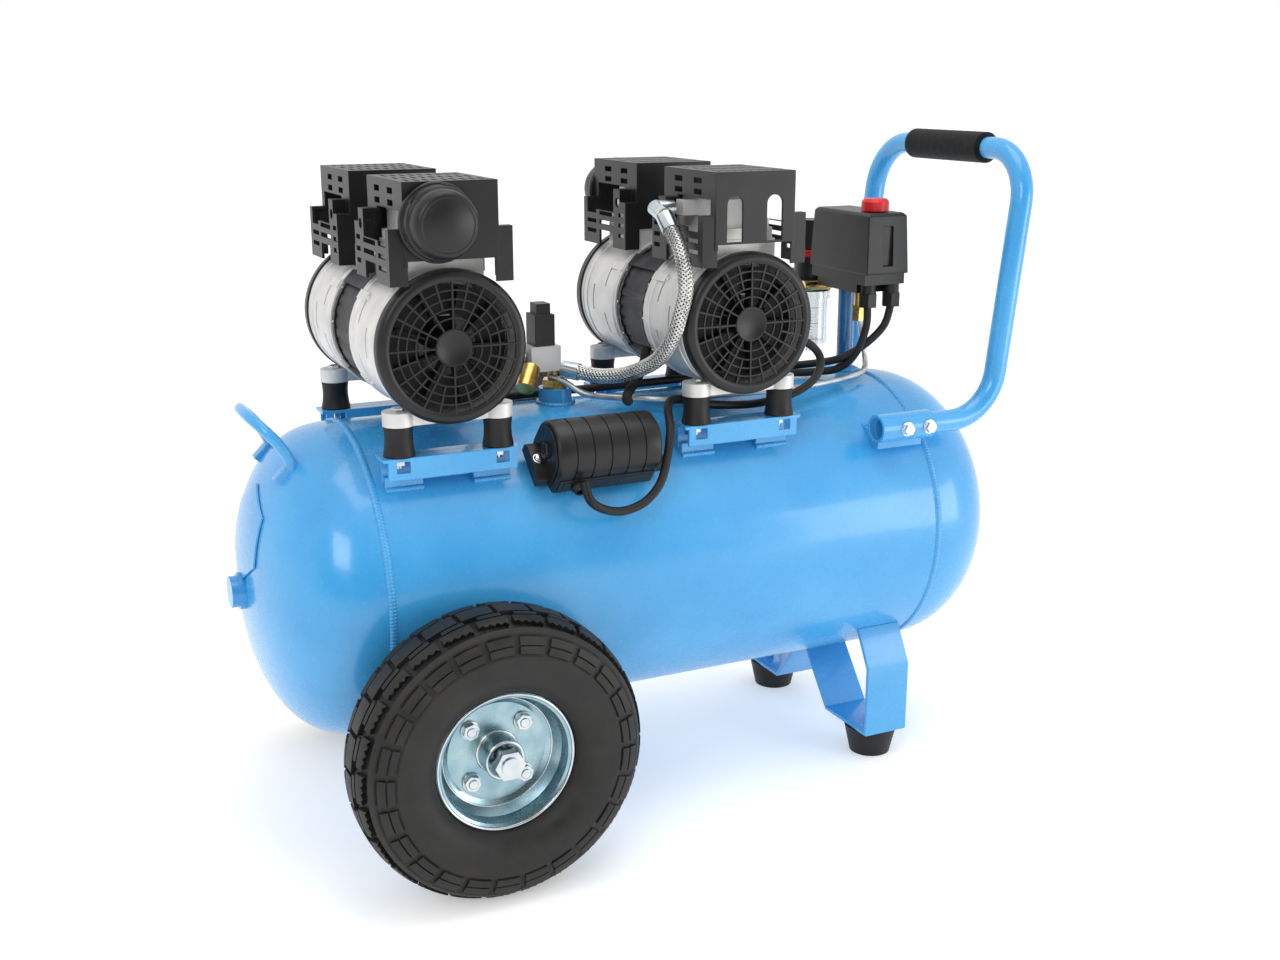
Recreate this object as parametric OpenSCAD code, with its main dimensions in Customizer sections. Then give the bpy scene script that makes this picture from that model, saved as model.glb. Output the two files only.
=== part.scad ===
// Portable twin-motor air compressor on a two-wheeled tank, in millimetres, +Z up.
// +X runs along the tank to the handle, -Y is the near side, z = 0 is the floor.

/* [Tank] */
// Outer radius of the tank
tank_r = 146; // [146:0.5:147]
// Height of the tank's axis above the floor
tank_z = 241; // [240:1:242]
// Length of the rolled barrel between its two weld seams
barrel_len = 576; // [570:1:580]
// Depth of the dished head at the wheel end
head_depth_left = 92; // [88:1:95]
// Depth of the dished head at the handle end
head_depth_right = 104; // [98:1:106]
// Wall thickness of the tank
tank_wall = 2.5; // [2:0.5:4]

/* [Wheels] */
// Outer radius of the tyre (10 inch hand-truck wheel)
tyre_r = 130; // [126:1:132]
// Width of the tyre
tyre_w = 84; // [76:1:86]
// Distance from the tank's middle to a tyre's middle
wheel_y = 190; // [188:1:196]
// Outer radius of the rim flange
rim_r = 62.6; // [61:0.2:64]
// Radius of the axle
axle_r = 8; // [8:0.5:8]

/* [Motor units] */
// Distance between the two motor axes
motor_gap = 286; // [280:1:292]
// Height of the motor axes above the floor
motor_z = 471; // [470:1:473]
// Radius of the cast end shells
motor_r = 64; // [63:0.5:65]
// Distance from the middle of a motor to the outside of its fan guard
motor_half = 129; // [128:0.5:130]
// Half the distance between mounting feet along the tank
foot_x = 44.7; // [44:0.1:46]
// Distance from the tank's middle to a row of mounting feet
foot_y = 106; // [105:0.5:107]
// Bore radius of the cylinders
bore_r = 31.5; // [30:0.5:32]
// Stroke of the wobble pistons
stroke = 20; // [16:1:22]

/* [Handle] */
// Radius of the handle tube
tube_r = 11; // [10.5:0.5:11.5]
// Height of the handle's lower ends
handle_z = 357; // [355:1:359]
// Distance from the tank's middle to a handle leg
handle_y = 126; // [124:1:128]
// Height of the crossbar's axis
grip_z = 620.6; // [600:0.1:640]
// Length of the foam grip
grip_len = 126; // [110:2:132]

/* [Quality] */
// Sides of a cable
cable_sides = 8; // [6:1:10]
// Segments of round shapes when previewed
round_fn = 48; // [32:4:96]

/* [Hidden] */
$fn = round_fn;

head_power = 2.3;
head_steps = 18;
barrel_x0 = -291;
barrel_x1 = barrel_x0 + barrel_len;
wheel_x = -213;
axle_z = tyre_r;
motor_x = [-75 - motor_gap / 2, -75 + motor_gap / 2];
shell_y0 = 32;
shell_y1 = motor_half - 5;
cyl_y = 70;
deck_z = 546;
rail_z = 378;
mount_top = 404.7;
bar_top = 417;
leg_x = 239;
boss_x = -75;
drain_x = -150;
switch_x = 268;
riser_y = 18;
reg_x = 260;
reg_y = 76;
handle_top_x = 379;
handle_low_x = 349;
socket_x0 = 212;
socket_x1 = 274;
gland_at = [[258, -36], [285, -38], [284, 42]];
run = 0.05;

eye_line = [[-340, -42, 352], [-343, -43, 368], [-352, -42, 384], [-362, -36, 396], [-369, -22, 403], [-371, 0, 405],
    [-369, 22, 403], [-362, 36, 396], [-352, 42, 384], [-343, 43, 368], [-340, 42, 352]];
// Routes of the flexible lines, from end to end
hose_right = [[3, -92, 556], [3, -112, 538], [0, -128, 510], [-6, -129, 485], [-9, -117, 459],
    [-14, -96, 438], [-28, -68, 423], [-44, -42, 417], [-58, -20, 418]];
hose_left = [[-151, 66, 552], [-148, 62, 520], [-144, 54, 480], [-136, 38, 450], [-124, 16, 434], [-114, 6, 431]];
lead_near = [[-108, -146, 346], [-105, -152, 330], [-90, -153, 320], [-70, -152, 317], [-48, -150, 324],
    [-30, -144, 342], [-14, -126, 376], [-4, -102, 396], [16, -84, 397], [50, -80, 388], [100, -80, 384],
    [138, -86, 391], [162, -86, 402], [175, -80, 415], [175, -74, 428], [160, -70, 440], [133, -66, 448]];
sleeve_near = [[-40, -92, 402], [-37, -82, 402], [-26, -64, 405], [-10, -48, 412], [4, -34, 426], [12, -22, 435]];
lead_far = [[-108, 146, 346], [-112, 153, 330], [-130, 156, 321], [-152, 156, 324], [-168, 152, 340],
    [-173, 142, 364], [-178, 130, 384], [-192, 120, 391], [-206, 104, 391], [-214, 80, 394], [-217, 50, 399], [-218, 22, 403]];
switch_lead_short = [[258, -36, 462], [256, -38, 442], [250, -32, 416], [238, -20, 398], [220, -8, 393],
    [180, 2, 394], [150, 8, 406], [124, 12, 438]];
switch_lead_long = [[285, -38, 462], [278, -38, 442], [260, -34, 424], [240, -22, 409], [222, -6, 402], [190, 14, 397],
    [140, 24, 393], [60, 28, 391], [-20, 30, 390], [-75, 32, 390], [-130, 26, 392], [-156, 18, 408], [-164, 14, 432]];
unloader_route = [[-82, -2, 413], [-70, -13, 408], [-52, -30, 397], [-4, -44, 392], [24, -55, 391], [90, -60, 391],
    [162, -62, 391], [235, -42, 392], [262, -28, 395], [268, -20, 408], [264, -20, 428], [260, -20, 446]];

function handle_line(x0) = [[x0, -handle_y, handle_z], [handle_low_x, -handle_y, handle_z],
    [handle_top_x, -handle_y, grip_z], [handle_top_x, handle_y, grip_z],
    [handle_low_x, handle_y, handle_z], [x0, handle_y, handle_z]];
handle_path = handle_line(socket_x0 + 6);
bore_path = handle_line(socket_x0 + 4);

box_r = 29;
box_outline = concat([[-box_r, 0], [box_r, 0]], [for (a = [0:12:180]) [box_r * cos(a), 22 + box_r * sin(a)]]);

function unit(v) = v / norm(v);
function dome(depth, r) = [for (i = [0:head_steps]) let (t = 90 * i / head_steps)
    [r * pow(cos(t), 2 / head_power), depth * pow(sin(t), 2 / head_power)]];
// A strip of even thickness around an open line, with mitred corners
function side_dir(p, i) = let (n = len(p) - 1,
    a = unit(p[max(i, 1)] - p[max(i, 1) - 1]), b = unit(p[min(i, n - 1) + 1] - p[min(i, n - 1)]),
    m = unit([-(a.y + b.y), a.x + b.x])) m / (m * [-a.y, a.x]);
function strip(p, t) = concat([for (i = [0:len(p) - 1]) p[i] + side_dir(p, i) * t / 2],
    [for (i = [len(p) - 1:-1:0]) p[i] - side_dir(p, i) * t / 2]);
// Smooth line through hand-placed points
function spline_at(a, b, c, d, t) = 0.5 * (2 * b + (c - a) * t + (2 * a - 5 * b + 4 * c - d) * t * t
    + (3 * b - a - 3 * c + d) * t * t * t);
function smooth(p, steps) = let (n = len(p) - 1) concat([for (i = [0:n - 1]) for (s = [0:steps - 1])
    spline_at(p[max(i - 1, 0)], p[i], p[i + 1], p[min(i + 2, n)], s / steps)], [p[n]]);
// Line whose corners are rounded to one radius
function bent(p, bend, steps) = let (n = len(p) - 1) concat([p[0]], [for (i = [1:n - 1])
    let (a = unit(p[i] - p[i - 1]), b = unit(p[i + 1] - p[i]), turn = acos(a * b),
        c = p[i] + unit(b - a) * bend / cos(turn / 2), x = unit(p[i] - a * bend * tan(turn / 2) - c))
    for (s = [0:steps]) c + bend * (cos(turn * s / steps) * x + sin(turn * s / steps) * a)], [p[n]]);
function tangent(q, i) = unit(q[min(i + 1, len(q) - 1)] - q[max(i - 1, 0)]);
function carried(q, i, u) = let (t = tangent(q, i), v = unit(u - (u * t) * t))
    i == len(q) - 1 ? [v] : concat([v], carried(q, i + 1, v));

module swept(points, r, sides, steps) {
    q = smooth(points, steps);
    u = carried(q, 0, abs(tangent(q, 0).z) > 0.9 ? [1, 0, 0] : [0, 0, 1]);
    n = len(q);
    verts = [for (i = [0:n - 1]) let (w = cross(tangent(q, i), u[i])) for (k = [0:sides - 1])
        q[i] + r * (cos(360 * k / sides) * u[i] + sin(360 * k / sides) * w)];
    ends = [[for (k = [0:sides - 1]) k], [for (k = [sides - 1:-1:0]) (n - 1) * sides + k]];
    walls = [for (i = [0:n - 2]) for (k = [0:sides - 1])
        [i * sides + k, (i + 1) * sides + k, (i + 1) * sides + (k + 1) % sides, i * sides + (k + 1) % sides]];
    polyhedron(verts, concat(ends, walls), convexity = 6);
}

module rod(p, q, r) {
    d = q - p;
    translate(p) rotate([0, acos(d.z / norm(d)), atan2(d.y, d.x)]) cylinder(h = norm(d), r = r);
}

module block(x, y, z) translate([x[0], y[0], z[0]]) cube([x[1] - x[0], y[1] - y[0], z[1] - z[0]]);
module disc_y(x, z, y0, y1, r) translate([x, y1, z]) rotate([90, 0, 0]) cylinder(h = y1 - y0, r = r);
module hex(h, af) cylinder(h = h, r = af / 2 / cos(30), $fn = 6);
module both_sides() for (s = [0, 1]) mirror([0, s, 0]) children();
module at_motor(i) translate([motor_x[i], 0, 0]) children();
module at_feet() for (x = [-foot_x, foot_x], y = [-foot_y, foot_y]) translate([x, y, 0]) children();

// Tank
module tank_solid(grow = 0) translate([0, 0, tank_z]) {
    translate([barrel_x0, 0, 0]) rotate([0, 90, 0]) cylinder(h = barrel_len, r = tank_r + grow);
    translate([barrel_x1, 0, 0]) rotate([0, 90, 0]) rotate_extrude()
        polygon(concat([[0, 0]], dome(head_depth_right + grow, tank_r + grow)));
    translate([barrel_x0, 0, 0]) rotate([0, -90, 0]) rotate_extrude()
        polygon(concat([[0, 0]], dome(head_depth_left + grow, tank_r + grow)));
}
module tank_barrel() color("#4aa6e0") translate([barrel_x0, 0, tank_z]) rotate([0, 90, 0]) difference() {
    cylinder(h = barrel_len, r = tank_r);
    translate([0, 0, -1]) cylinder(h = barrel_len + 2, r = tank_r - tank_wall);
}
module head(depth) rotate_extrude() polygon(concat(dome(depth, tank_r),
    [for (i = [head_steps:-1:0]) dome(depth - tank_wall, tank_r - tank_wall)[i]]));
module tank_heads() color("#4aa6e0") translate([0, 0, tank_z]) {
    translate([barrel_x1, 0, 0]) rotate([0, 90, 0]) head(head_depth_right);
    translate([barrel_x0, 0, 0]) rotate([0, -90, 0]) head(head_depth_left);
}
module weld_seams() color("#4aa6e0") difference() {
    for (x = [barrel_x0 + 5.2, barrel_x1 - 5.2]) translate([x, 0, tank_z]) rotate([0, 90, 0]) rotate_extrude()
        polygon([[tank_r, -5], [tank_r + 2.4, -3], [tank_r + 3, 0], [tank_r + 2.4, 3], [tank_r, 5]]);
    translate([switch_x, riser_y, 370]) cylinder(h = 30, r = 13.2);
}
module tank_fittings() color("#4aa6e0") difference() {
    union() {
        translate([boss_x, 0, 370]) cylinder(h = 31.7, r = 16);
        translate([switch_x, riser_y, 370]) cylinder(h = 20, r = 13);
        translate([-380, 0, tank_z]) rotate([0, -90, 0]) cylinder(h = 8, r = 17);
        translate([-388, 0, tank_z]) rotate([0, -90, 0]) cylinder(h = 7, r = 14.5);
        translate([drain_x, 0, tank_z - tank_r - 10]) cylinder(h = 24, r = 13);
    }
    tank_solid();
    translate([switch_x, riser_y, 360]) cylinder(h = 40, r = 8.6);
    translate([drain_x, 0, tank_z - tank_r - 12]) cylinder(h = 30, r = 7);
}
// Lift eye: a bent bar that leans outwards, on two short welded feet
module tow_eye() color("#4aa6e0") difference() {
    union() {
        swept(eye_line, 5.6, 12, 4);
        for (s = [-1, 1]) translate([-346, s * 42, 358]) rotate([0, -45, 0]) block([-12, 12], [-6.5, 6.5], [-8, 6]);
    }
    tank_solid();
}
module data_plate() color("#4aa6e0") intersection() {
    difference() {
        tank_solid(2.2);
        tank_solid(0.7);
        translate([-400, 0, tank_z]) rotate([0, 90, 0]) cylinder(h = 60, r = 17.4);
    }
    translate([-400, -6, tank_z + 56]) rotate([0, 90, 0]) cylinder(h = 100, r = 44, $fn = 6);
}
module drain_valve() color("#c9a24a") {
    translate([drain_x, 0, tank_z - tank_r - 24]) hex(12, 17);
    translate([drain_x, 0, tank_z - tank_r - 12]) cylinder(h = 11.8, r = 6.9);
    difference() {
        translate([drain_x, 0, tank_z - tank_r - 38]) cylinder(h = 14, r = 6.5);
        translate([drain_x, 0, tank_z - tank_r - 39]) cylinder(h = 15, r = 4.05);
    }
}
module drain_handle() color("#c9a24a") {
    translate([drain_x, 0, tank_z - tank_r - 46]) cylinder(h = 21, r = 4);
    block([drain_x - 12, drain_x + 12], [-2, 2], [tank_z - tank_r - 52, tank_z - tank_r - 42]);
}

// Running gear
// Two stub axles, because the tank hangs lower than their axis
module axle() color("#a9b4bd") both_sides() disc_y(wheel_x, axle_z, 110, 228, axle_r);
module axle_bracket() color("#4aa6e0") difference() {
    both_sides() {
        block([wheel_x - 32, wheel_x + 32], [118, 122], [axle_z - 20, 180]);
        block([wheel_x - 32, wheel_x + 32], [70, 118], [axle_z - 20, axle_z - 16]);
        for (s = [-1, 1]) block([wheel_x + s * 30 - 2, wheel_x + s * 30 + 2], [80, 118], [axle_z - 16, 170]);
        disc_y(wheel_x, axle_z, 122, 160, 12);
    }
    tank_solid();
    both_sides() disc_y(wheel_x, axle_z, 100, 170, axle_r);
}
// Wheel about +Z, outer face up, middle plane at z = 0
module rim() color("#aebfca") difference() {
    union() {
        for (s = [0, 1]) mirror([0, 0, s]) rotate_extrude() polygon(strip([[rim_r - 0.6, 27], [rim_r - 1.4, 25.2],
            [rim_r - 4.5, 23.8], [rim_r - 5.6, 12], [50, 4], [45, 1.4], [17, 1.4]], 1.6));
        translate([0, 0, -22.6]) cylinder(h = 45.2, r = 18);
        for (a = [45:90:359]) rotate(a) translate([34, 0, -7]) hex(14, 13);
    }
    translate([0, 0, -30]) cylinder(h = 60, r = axle_r + run);
    translate([0, 0, 12]) cylinder(h = 20, r = 14.5);
    translate([0, 0, -32]) cylinder(h = 20, r = 14.5);
}
function bulge(w, h, r0, a0, a1, n) = [for (i = [0:n]) let (t = a0 + (a1 - a0) * i / n)
    [r0 + h * sign(sin(t)) * pow(abs(sin(t)), 0.76), w * sign(cos(t)) * pow(abs(cos(t)), 0.76)]];
module tyre() color("#2b2b2b") rotate_extrude() polygon(concat(
    [[58.3, 14], [58.8, 22.3], [62, 22.6]],
    bulge(tyre_w / 2, 36, tyre_r - 36, -52, 232, 20),
    [[62, -22.6], [58.8, -22.3], [58.3, -14], [61, -13]],
    bulge(tyre_w / 2 - 9, 28, tyre_r - 36, 232, -52, 20),
    [[61, 13]]));
module place_wheel(side) translate([wheel_x, side * wheel_y, axle_z]) rotate([-side * 90, 0, 0]) children();
module rim_near() place_wheel(-1) rim();
module rim_far() place_wheel(1) rim();
module tyre_near() place_wheel(-1) tyre();
module tyre_far() place_wheel(1) tyre();

// Bent strap legs at the handle end
module leg_brackets() color("#4aa6e0") difference() {
    both_sides() translate([leg_x - 25, 0, 0]) rotate([90, 0, 90]) linear_extrude(50)
        polygon(strip([[101, 148], [126.2, 103], [126.2, 31.2], [52, 31.2], [-4, 100.6]], 4));
    tank_solid();
    both_sides() translate([leg_x, 100, 26]) cylinder(h = 12, r = 4.2);
}
module rubber_feet() color("#262626") both_sides() translate([leg_x, 100, 0]) difference() {
    cylinder(h = 29.2, r1 = 21, r2 = 27.5);
    translate([0, 0, 12]) cylinder(h = 18, r = 4);
    translate([0, 0, -1]) cylinder(h = 7, r = 12);
}
module frame_bolts() color("#b8bec2") both_sides() {
    translate([leg_x, 100, 12]) cylinder(h = 21.2, r = 4);
    translate([leg_x, 100, 33.2]) hex(5.5, 13);
    rotate([90, 0, 0]) translate([wheel_x, axle_z, -226]) difference() {
        hex(13, 24);
        translate([0, 0, -1]) cylinder(h = 15, r = axle_r);
    }
    difference() {
        for (x = [240, 266]) translate([x, handle_y + 14, handle_z]) rotate([-90, 0, 0]) {
            translate([0, 0, -1.2]) cylinder(h = 1.2, r = 7);
            hex(4.5, 10);
        }
        translate([socket_x0, handle_y, handle_z]) rotate([0, 90, 0]) cylinder(h = socket_x1 - socket_x0, r = 14);
    }
}

// Channel rails, welded to the tank by a tab under each end
module motor_rails() color("#4aa6e0") difference() {
    for (i = [0, 1]) at_motor(i) both_sides() {
        block([-62, 62], [92, 118], [rail_z - 3, rail_z]);
        block([-58, 58], [115, 118], [rail_z - 19, rail_z - 3]);
        block([-58, 58], [92, 95], [rail_z - 32, rail_z - 3]);
        for (s = [-1, 1]) block([s * 40 - 17, s * 40 + 17], [95, 101], [rail_z - 40, rail_z - 20]);
    }
    tank_solid();
    for (i = [0, 1]) at_motor(i) {
        at_feet() translate([0, 0, rail_z - 4]) cylinder(h = 5, r = 3.3);
        for (x = [-foot_x, foot_x]) block([x - 6, x + 6], [-120, 120], [rail_z - 13, rail_z - 3]);
        block([-foot_x - 6, foot_x + 6], [-91, 91], [rail_z - 60, rail_z + 2]);
    }
}
module rubber_mounts() color("#2a2a2a") for (i = [0, 1]) at_motor(i) at_feet() {
    translate([0, 0, rail_z]) cylinder(h = 4, r1 = 14, r2 = 13.2);
    translate([0, 0, rail_z + 4]) cylinder(h = mount_top - rail_z - 4, r = 13.2);
}
module mount_nuts() color("#c4c9cc") for (i = [0, 1]) at_motor(i) at_feet() {
    translate([0, 0, bar_top]) hex(3, 10);
    translate([0, 0, mount_top]) cylinder(h = 15, r = 3);
    translate([0, 0, rail_z - 8]) hex(5, 10);
    translate([0, 0, rail_z - 11]) cylinder(h = 11, r = 3);
}

// Handle
module handle_tube() color("#4aa6e0") difference() {
    swept(bent(handle_path, 52, 7), tube_r, 20, 1);
    swept(bent(bore_path, 52, 7), tube_r - 1.5, 20, 1);
}
module handle_sockets() color("#4aa6e0") difference() {
    both_sides() {
        translate([socket_x0, handle_y, handle_z]) rotate([0, 90, 0]) cylinder(h = socket_x1 - socket_x0, r = 14);
        block([socket_x0 + 6, socket_x1 - 4], [84, 122], [handle_z - 22, handle_z - 4]);
    }
    tank_solid();
    both_sides() translate([socket_x0 - 1, handle_y, handle_z]) rotate([0, 90, 0]) cylinder(h = 80, r = tube_r);
}
module foam_grip() color("#222222") translate([handle_top_x, grip_len / 2, grip_z]) rotate([90, 0, 0]) difference() {
    cylinder(h = grip_len, r = 16);
    translate([0, 0, -1]) cylinder(h = grip_len + 2, r = tube_r);
}

// Motor-pump units
module end_shell() difference() {
    union() {
        disc_y(0, motor_z, shell_y0, shell_y1, motor_r);
        block([-36, 36], [cyl_y - 36, cyl_y + 36], [500, deck_z]);
        translate([0, foot_y, mount_top]) both_ears();
        block([-foot_x, foot_x], [foot_y - 8, foot_y + 8], [mount_top, bar_top]);
        block([-34, 34], [foot_y - 6, foot_y + 6], [bar_top, 440]);
    }
    disc_y(0, motor_z, shell_y0 - 1, 37, motor_r - 4);
    difference() {
        disc_y(0, motor_z, 46, shell_y1 + 1, motor_r - 4);
        translate([0, cyl_y, 495]) cylinder(h = 60, r = bore_r + 3.5);
        disc_y(0, motor_z, 30, 50, 15);
    }
    disc_y(0, motor_z, 30, 60, 7 + run);
    translate([0, cyl_y, 490]) cylinder(h = 70, r = bore_r);
    for (x = [-foot_x, foot_x]) translate([x, foot_y, mount_top - 1]) cylinder(h = 20, r = 3);
    for (a = [-20, 24, 156, 200]) rotate_about_y(a) block([54, 70], [58, 60.4], [-11, 11]);
    for (a = [2, 178]) rotate_about_y(a) block([54, 70], [84, 86.4], [-13, 13]);
}
module rotate_about_y(a) translate([0, 0, motor_z]) rotate([0, -a, 0]) children();
module both_ears() for (x = [-foot_x, foot_x]) translate([x, 0, 0]) cylinder(h = bar_top - mount_top, r = 13.5);
module castings(i) color("#b9bdbf") at_motor(i) both_sides() end_shell();
module castings_left() castings(0);
module castings_right() castings(1);
module stators() color("#3a3a3c") for (i = [0, 1]) at_motor(i) difference() {
    union() {
        disc_y(0, motor_z, -shell_y0, shell_y0, 61);
        for (a = [45:90:359]) rotate_about_y(a) block([56, 64], [-shell_y0, shell_y0], [-7, 7]);
    }
    disc_y(0, motor_z, -40, 40, 35);
}
module rotor(i) color("#8f9396") at_motor(i) {
    disc_y(0, motor_z, -118, 118, 7);
    disc_y(0, motor_z, -28, 28, 34.5);
    both_sides() {
        disc_y(0, motor_z + stroke / 2, 61, 79, 18.5);
        disc_y(0, motor_z, 100, 120, 13);
        difference() {
            disc_y(0, motor_z, 108, 110, 52);
            disc_y(0, motor_z, 107, 111, 26);
        }
        for (a = [0:40:320]) rotate_about_y(a) block([10, 50], [109, 119], [-0.8, 0.8]);
    }
}
module rotor_left() rotor(0);
module rotor_right() rotor(1);
module fan_guard() difference() {
    union() {
        difference() {
            disc_y(0, motor_z, shell_y1 - 3, motor_half, 65.8);
            disc_y(0, motor_z, shell_y1 - 4, motor_half + 1, 55.6);
            disc_y(0, motor_z, shell_y1 - 4, shell_y1 + 0.3, 64.2);
        }
        disc_y(0, motor_z, motor_half - 4, motor_half, 16.3);
        for (r = [25, 33, 41, 48.5]) difference() {
            disc_y(0, motor_z, motor_half - 3, motor_half - 0.5, r + 0.8);
            disc_y(0, motor_z, motor_half - 5, motor_half + 1, r - 0.8);
        }
        for (a = [0:30:330]) rotate_about_y(a) block([15, 57], [motor_half - 3, motor_half - 0.4], [-0.9, 0.9]);
        for (a = [15:30:345]) rotate_about_y(a) block([33, 57], [motor_half - 3, motor_half - 0.4], [-0.9, 0.9]);
    }
}
module fan_guards() color("#2c2c2c") for (i = [0, 1]) at_motor(i) both_sides() fan_guard();
module cylinder_head() {
    difference() {
        block([-34, 34], [cyl_y - 34, cyl_y + 34], [deck_z, deck_z + 7]);
        translate([0, cyl_y, deck_z - 1]) cylinder(h = 4, r = bore_r - 3);
    }
    block([-34, 34], [cyl_y - 34, cyl_y + 34], [deck_z + 7, deck_z + 10]);
    block([-28, 28], [cyl_y - 28, cyl_y + 28], [deck_z + 10, deck_z + 36]);
    for (x = [-28, 28], y = [cyl_y - 28, cyl_y + 28]) translate([x, y, deck_z + 10]) cylinder(h = 8, r = 5);
    block([28, 44], [cyl_y - 9, cyl_y + 5], [deck_z + 21, deck_z + 35]);
}
module heads(i, flip) color("#b9bdbf") at_motor(i) both_sides() mirror([flip, 0, 0]) cylinder_head();
module heads_left() heads(0, 0);
module heads_right() heads(1, 1);
module cover_outer() {
    block([-41, 41], [30, 132], [540, 609]);
    block([-53.5, 53.5], [30, 131], [525, 571]);
    block([-53.5, 53.5], [43, 66], [560, 583]);
}
module cover_inner() {
    block([-38.5, 38.5], [32.5, 129.5], [520, 606.5]);
    block([-51, 51], [32.5, 128.5], [520, 568.5]);
    block([-51, 51], [45.5, 63.5], [560, 580.5]);
}
module cover(front_slots) color("#333333") difference() {
    cover_outer();
    cover_inner();
    block([-38, 38], [20, 140], [520, 545]);
    block([-54, 54], [60, 92], [520, 540]);
    for (s = [-1, 1]) {
        // Recess where the head bolts and the air port show, and a round hole in the shoulder
        block([s * 48 - 13, s * 48 + 13], [58, 122], [560, 585]);
        translate([s * 48 - 8, 49, 570]) rotate([0, 90, 0]) cylinder(h = 16, r = 4.5);
        for (y = [38, 76], z = [590, 600]) block([s * 40 - 3, s * 40 + 3], [y + 14, y + 29], [z - 2.5, z + 2.5]);
        for (z = [538, 548, 558]) {
            block([s * 52 - 4, s * 52 + 4], [34, 46], [z - 2, z + 2]);
            block([s * 52 - 4, s * 52 + 4], [100, 122], [z - 2, z + 2]);
        }
        block([s * 52 - 4, s * 52 + 4], [56, 92], [546, 550]);
        block([s * 52 - 4, s * 52 + 4], [56, 92], [555, 559]);
    }
    for (x = [-32:8:32], y = [42, 74, 106]) block([x - 1.6, x + 1.6], [y, y + 18], [600, 612]);
    if (front_slots) for (x = [-21, 20]) {
        block([x - 8, x + 8], [126, 136], [547, 580]);
        disc_y(x, 580, 126, 136, 8);
    }
}
module covers_left() at_motor(0) both_sides() cover(false);
module covers_right() at_motor(1) both_sides() cover(true);
module filter_can() color("#262626") translate([-13, 132, 576]) rotate([-90, 0, 0]) difference() {
    union() {
        cylinder(h = 7, r = 33);
        cylinder(h = 22, r = 30);
        translate([0, 0, 22]) cylinder(h = 10, r1 = 30, r2 = 24);
        translate([0, 0, 32]) cylinder(h = 1, r = 23.5);
    }
    translate([0, 0, 5]) cylinder(h = 22, r = 26);
}
module intake_filters() {
    at_motor(0) mirror([0, 1, 0]) filter_can();
    at_motor(1) filter_can();
}
module piston(i, side) color("#c9cccf") at_motor(i) mirror([0, side, 0]) translate([0, cyl_y, 0]) {
    translate([0, 0, deck_z - 13]) cylinder(h = 12, r = bore_r - run);
    block([-7, 7], [-8, 8], [deck_z - 23, deck_z - 13]);
}
module piston_left_near() piston(0, 1);
module piston_left_far() piston(0, 0);
module piston_right_near() piston(1, 1);
module piston_right_far() piston(1, 0);

// Air path
module hose_fittings() color("#c3c7c9") {
    rod([17, -68, 574], [2, -68, 574], 7);
    rod([2, -61, 574], [2.4, -80, 568], 7.5);
    rod([2.4, -80, 568], [3, -92, 556], 8.4);
    rod([-158, 68, 574], [-150, 68, 574], 7);
    rod([-150, 68, 581], [-151, 66, 552], 7.5);
    rod([-58, -20, 418], [-70, -8, 420], 8.4);
    rod([-114, 6, 431], [-104, 4, 430], 8.4);
}
module braided_hoses() color("#b4b6b5") {
    swept(hose_right, 7.2, 10, 3);
    swept(hose_left, 7.2, 10, 3);
}
module manifold() color("#a7abad") difference() {
    block([-104, -74], [-14, 14], [420, 444]);
    translate([-89, 0, 415]) cylinder(h = 20, r = 6);
}
module solenoid() color("#242424") {
    block([-99, -79], [-12, 12], [444, 474]);
    block([-96, -82], [-9, 9], [474, 484]);
}
module brass_fittings() color("#c9a24a") {
    translate([boss_x, 0, 401.7]) hex(8, 22);
    translate([boss_x, 0, 409.7]) cylinder(h = 10.3, r = 7);
    rod([-104, -12, 424], [-116, -26, 408], 9);
    translate([258, -20, 446]) hex(16, 12);
    translate([258, -20, 462]) cylinder(h = 14, r = 5);
    difference() {
        union() {
            rod([236, 54, 474], [270, 54, 474], 5.5);
            rod([266, 44, 480], [266, 54, 474], 5.5);
        }
        block([230, 290], [40, 48], [476, 490]);
        translate([reg_x, reg_y, 460]) cylinder(h = 40, r = 21);
    }
    translate([switch_x + 20, riser_y, 481]) rotate([0, 90, 0]) difference() {
        union() {
            cylinder(h = 14, r = 4.5);
            translate([0, 0, 8]) hex(16, 12);
        }
        translate([0, 0, 15]) cylinder(h = 10, r = 4.6);
    }
}
module safety_ring() color("#c9a24a") translate([switch_x + 20, riser_y, 481]) rotate([0, 90, 0]) {
    translate([0, 0, 15.5]) cylinder(h = 12, r = 4.55);
    translate([0, 0, 34]) rotate([90, 0, 0]) rotate_extrude() translate([8, 0]) circle(r = 1.2, $fn = 24);
}
module unloader_tube() color("#c8cbcc") swept(unloader_route, 3, 8, 4);
module riser_pipe() color("#2f74ad") translate([switch_x, riser_y, 0]) difference() {
    translate([0, 0, 386.8]) cylinder(h = 89.2, r = 8.6);
    translate([0, 0, 386]) cylinder(h = 91, r = 6.2);
}

// Capacitor boxes: half-round lids on a flat base that leans against the tank
module capacitor_box() difference() {
    union() {
        rotate([90, 0, 90]) linear_extrude(100) polygon(box_outline);
        for (x = [-13, 100]) translate([x, 0, 0]) rotate([90, 0, 90]) linear_extrude(13)
            polygon([[-20, 0], [20, 0], [20, 10], [14, 14], [-14, 14], [-20, 10]]);
    }
    for (x = [18:18:90]) translate([x, 0, 0]) rotate([90, 0, 90]) linear_extrude(1.4) difference() {
        square([90, 110], center = true);
        translate([0, 6]) scale(0.965) polygon(box_outline);
    }
    for (x = [-6.5, 106.5]) translate([x, 0, -1]) cylinder(h = 20, r = 2.6);
}
module capacitor_boxes() color("#2a2a2a") {
    translate([-132, -104, 353]) rotate([43, 0, 0]) capacitor_box();
    mirror([0, 1, 0]) translate([-132, -104, 353]) rotate([43, 0, 0]) capacitor_box();
}
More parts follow.
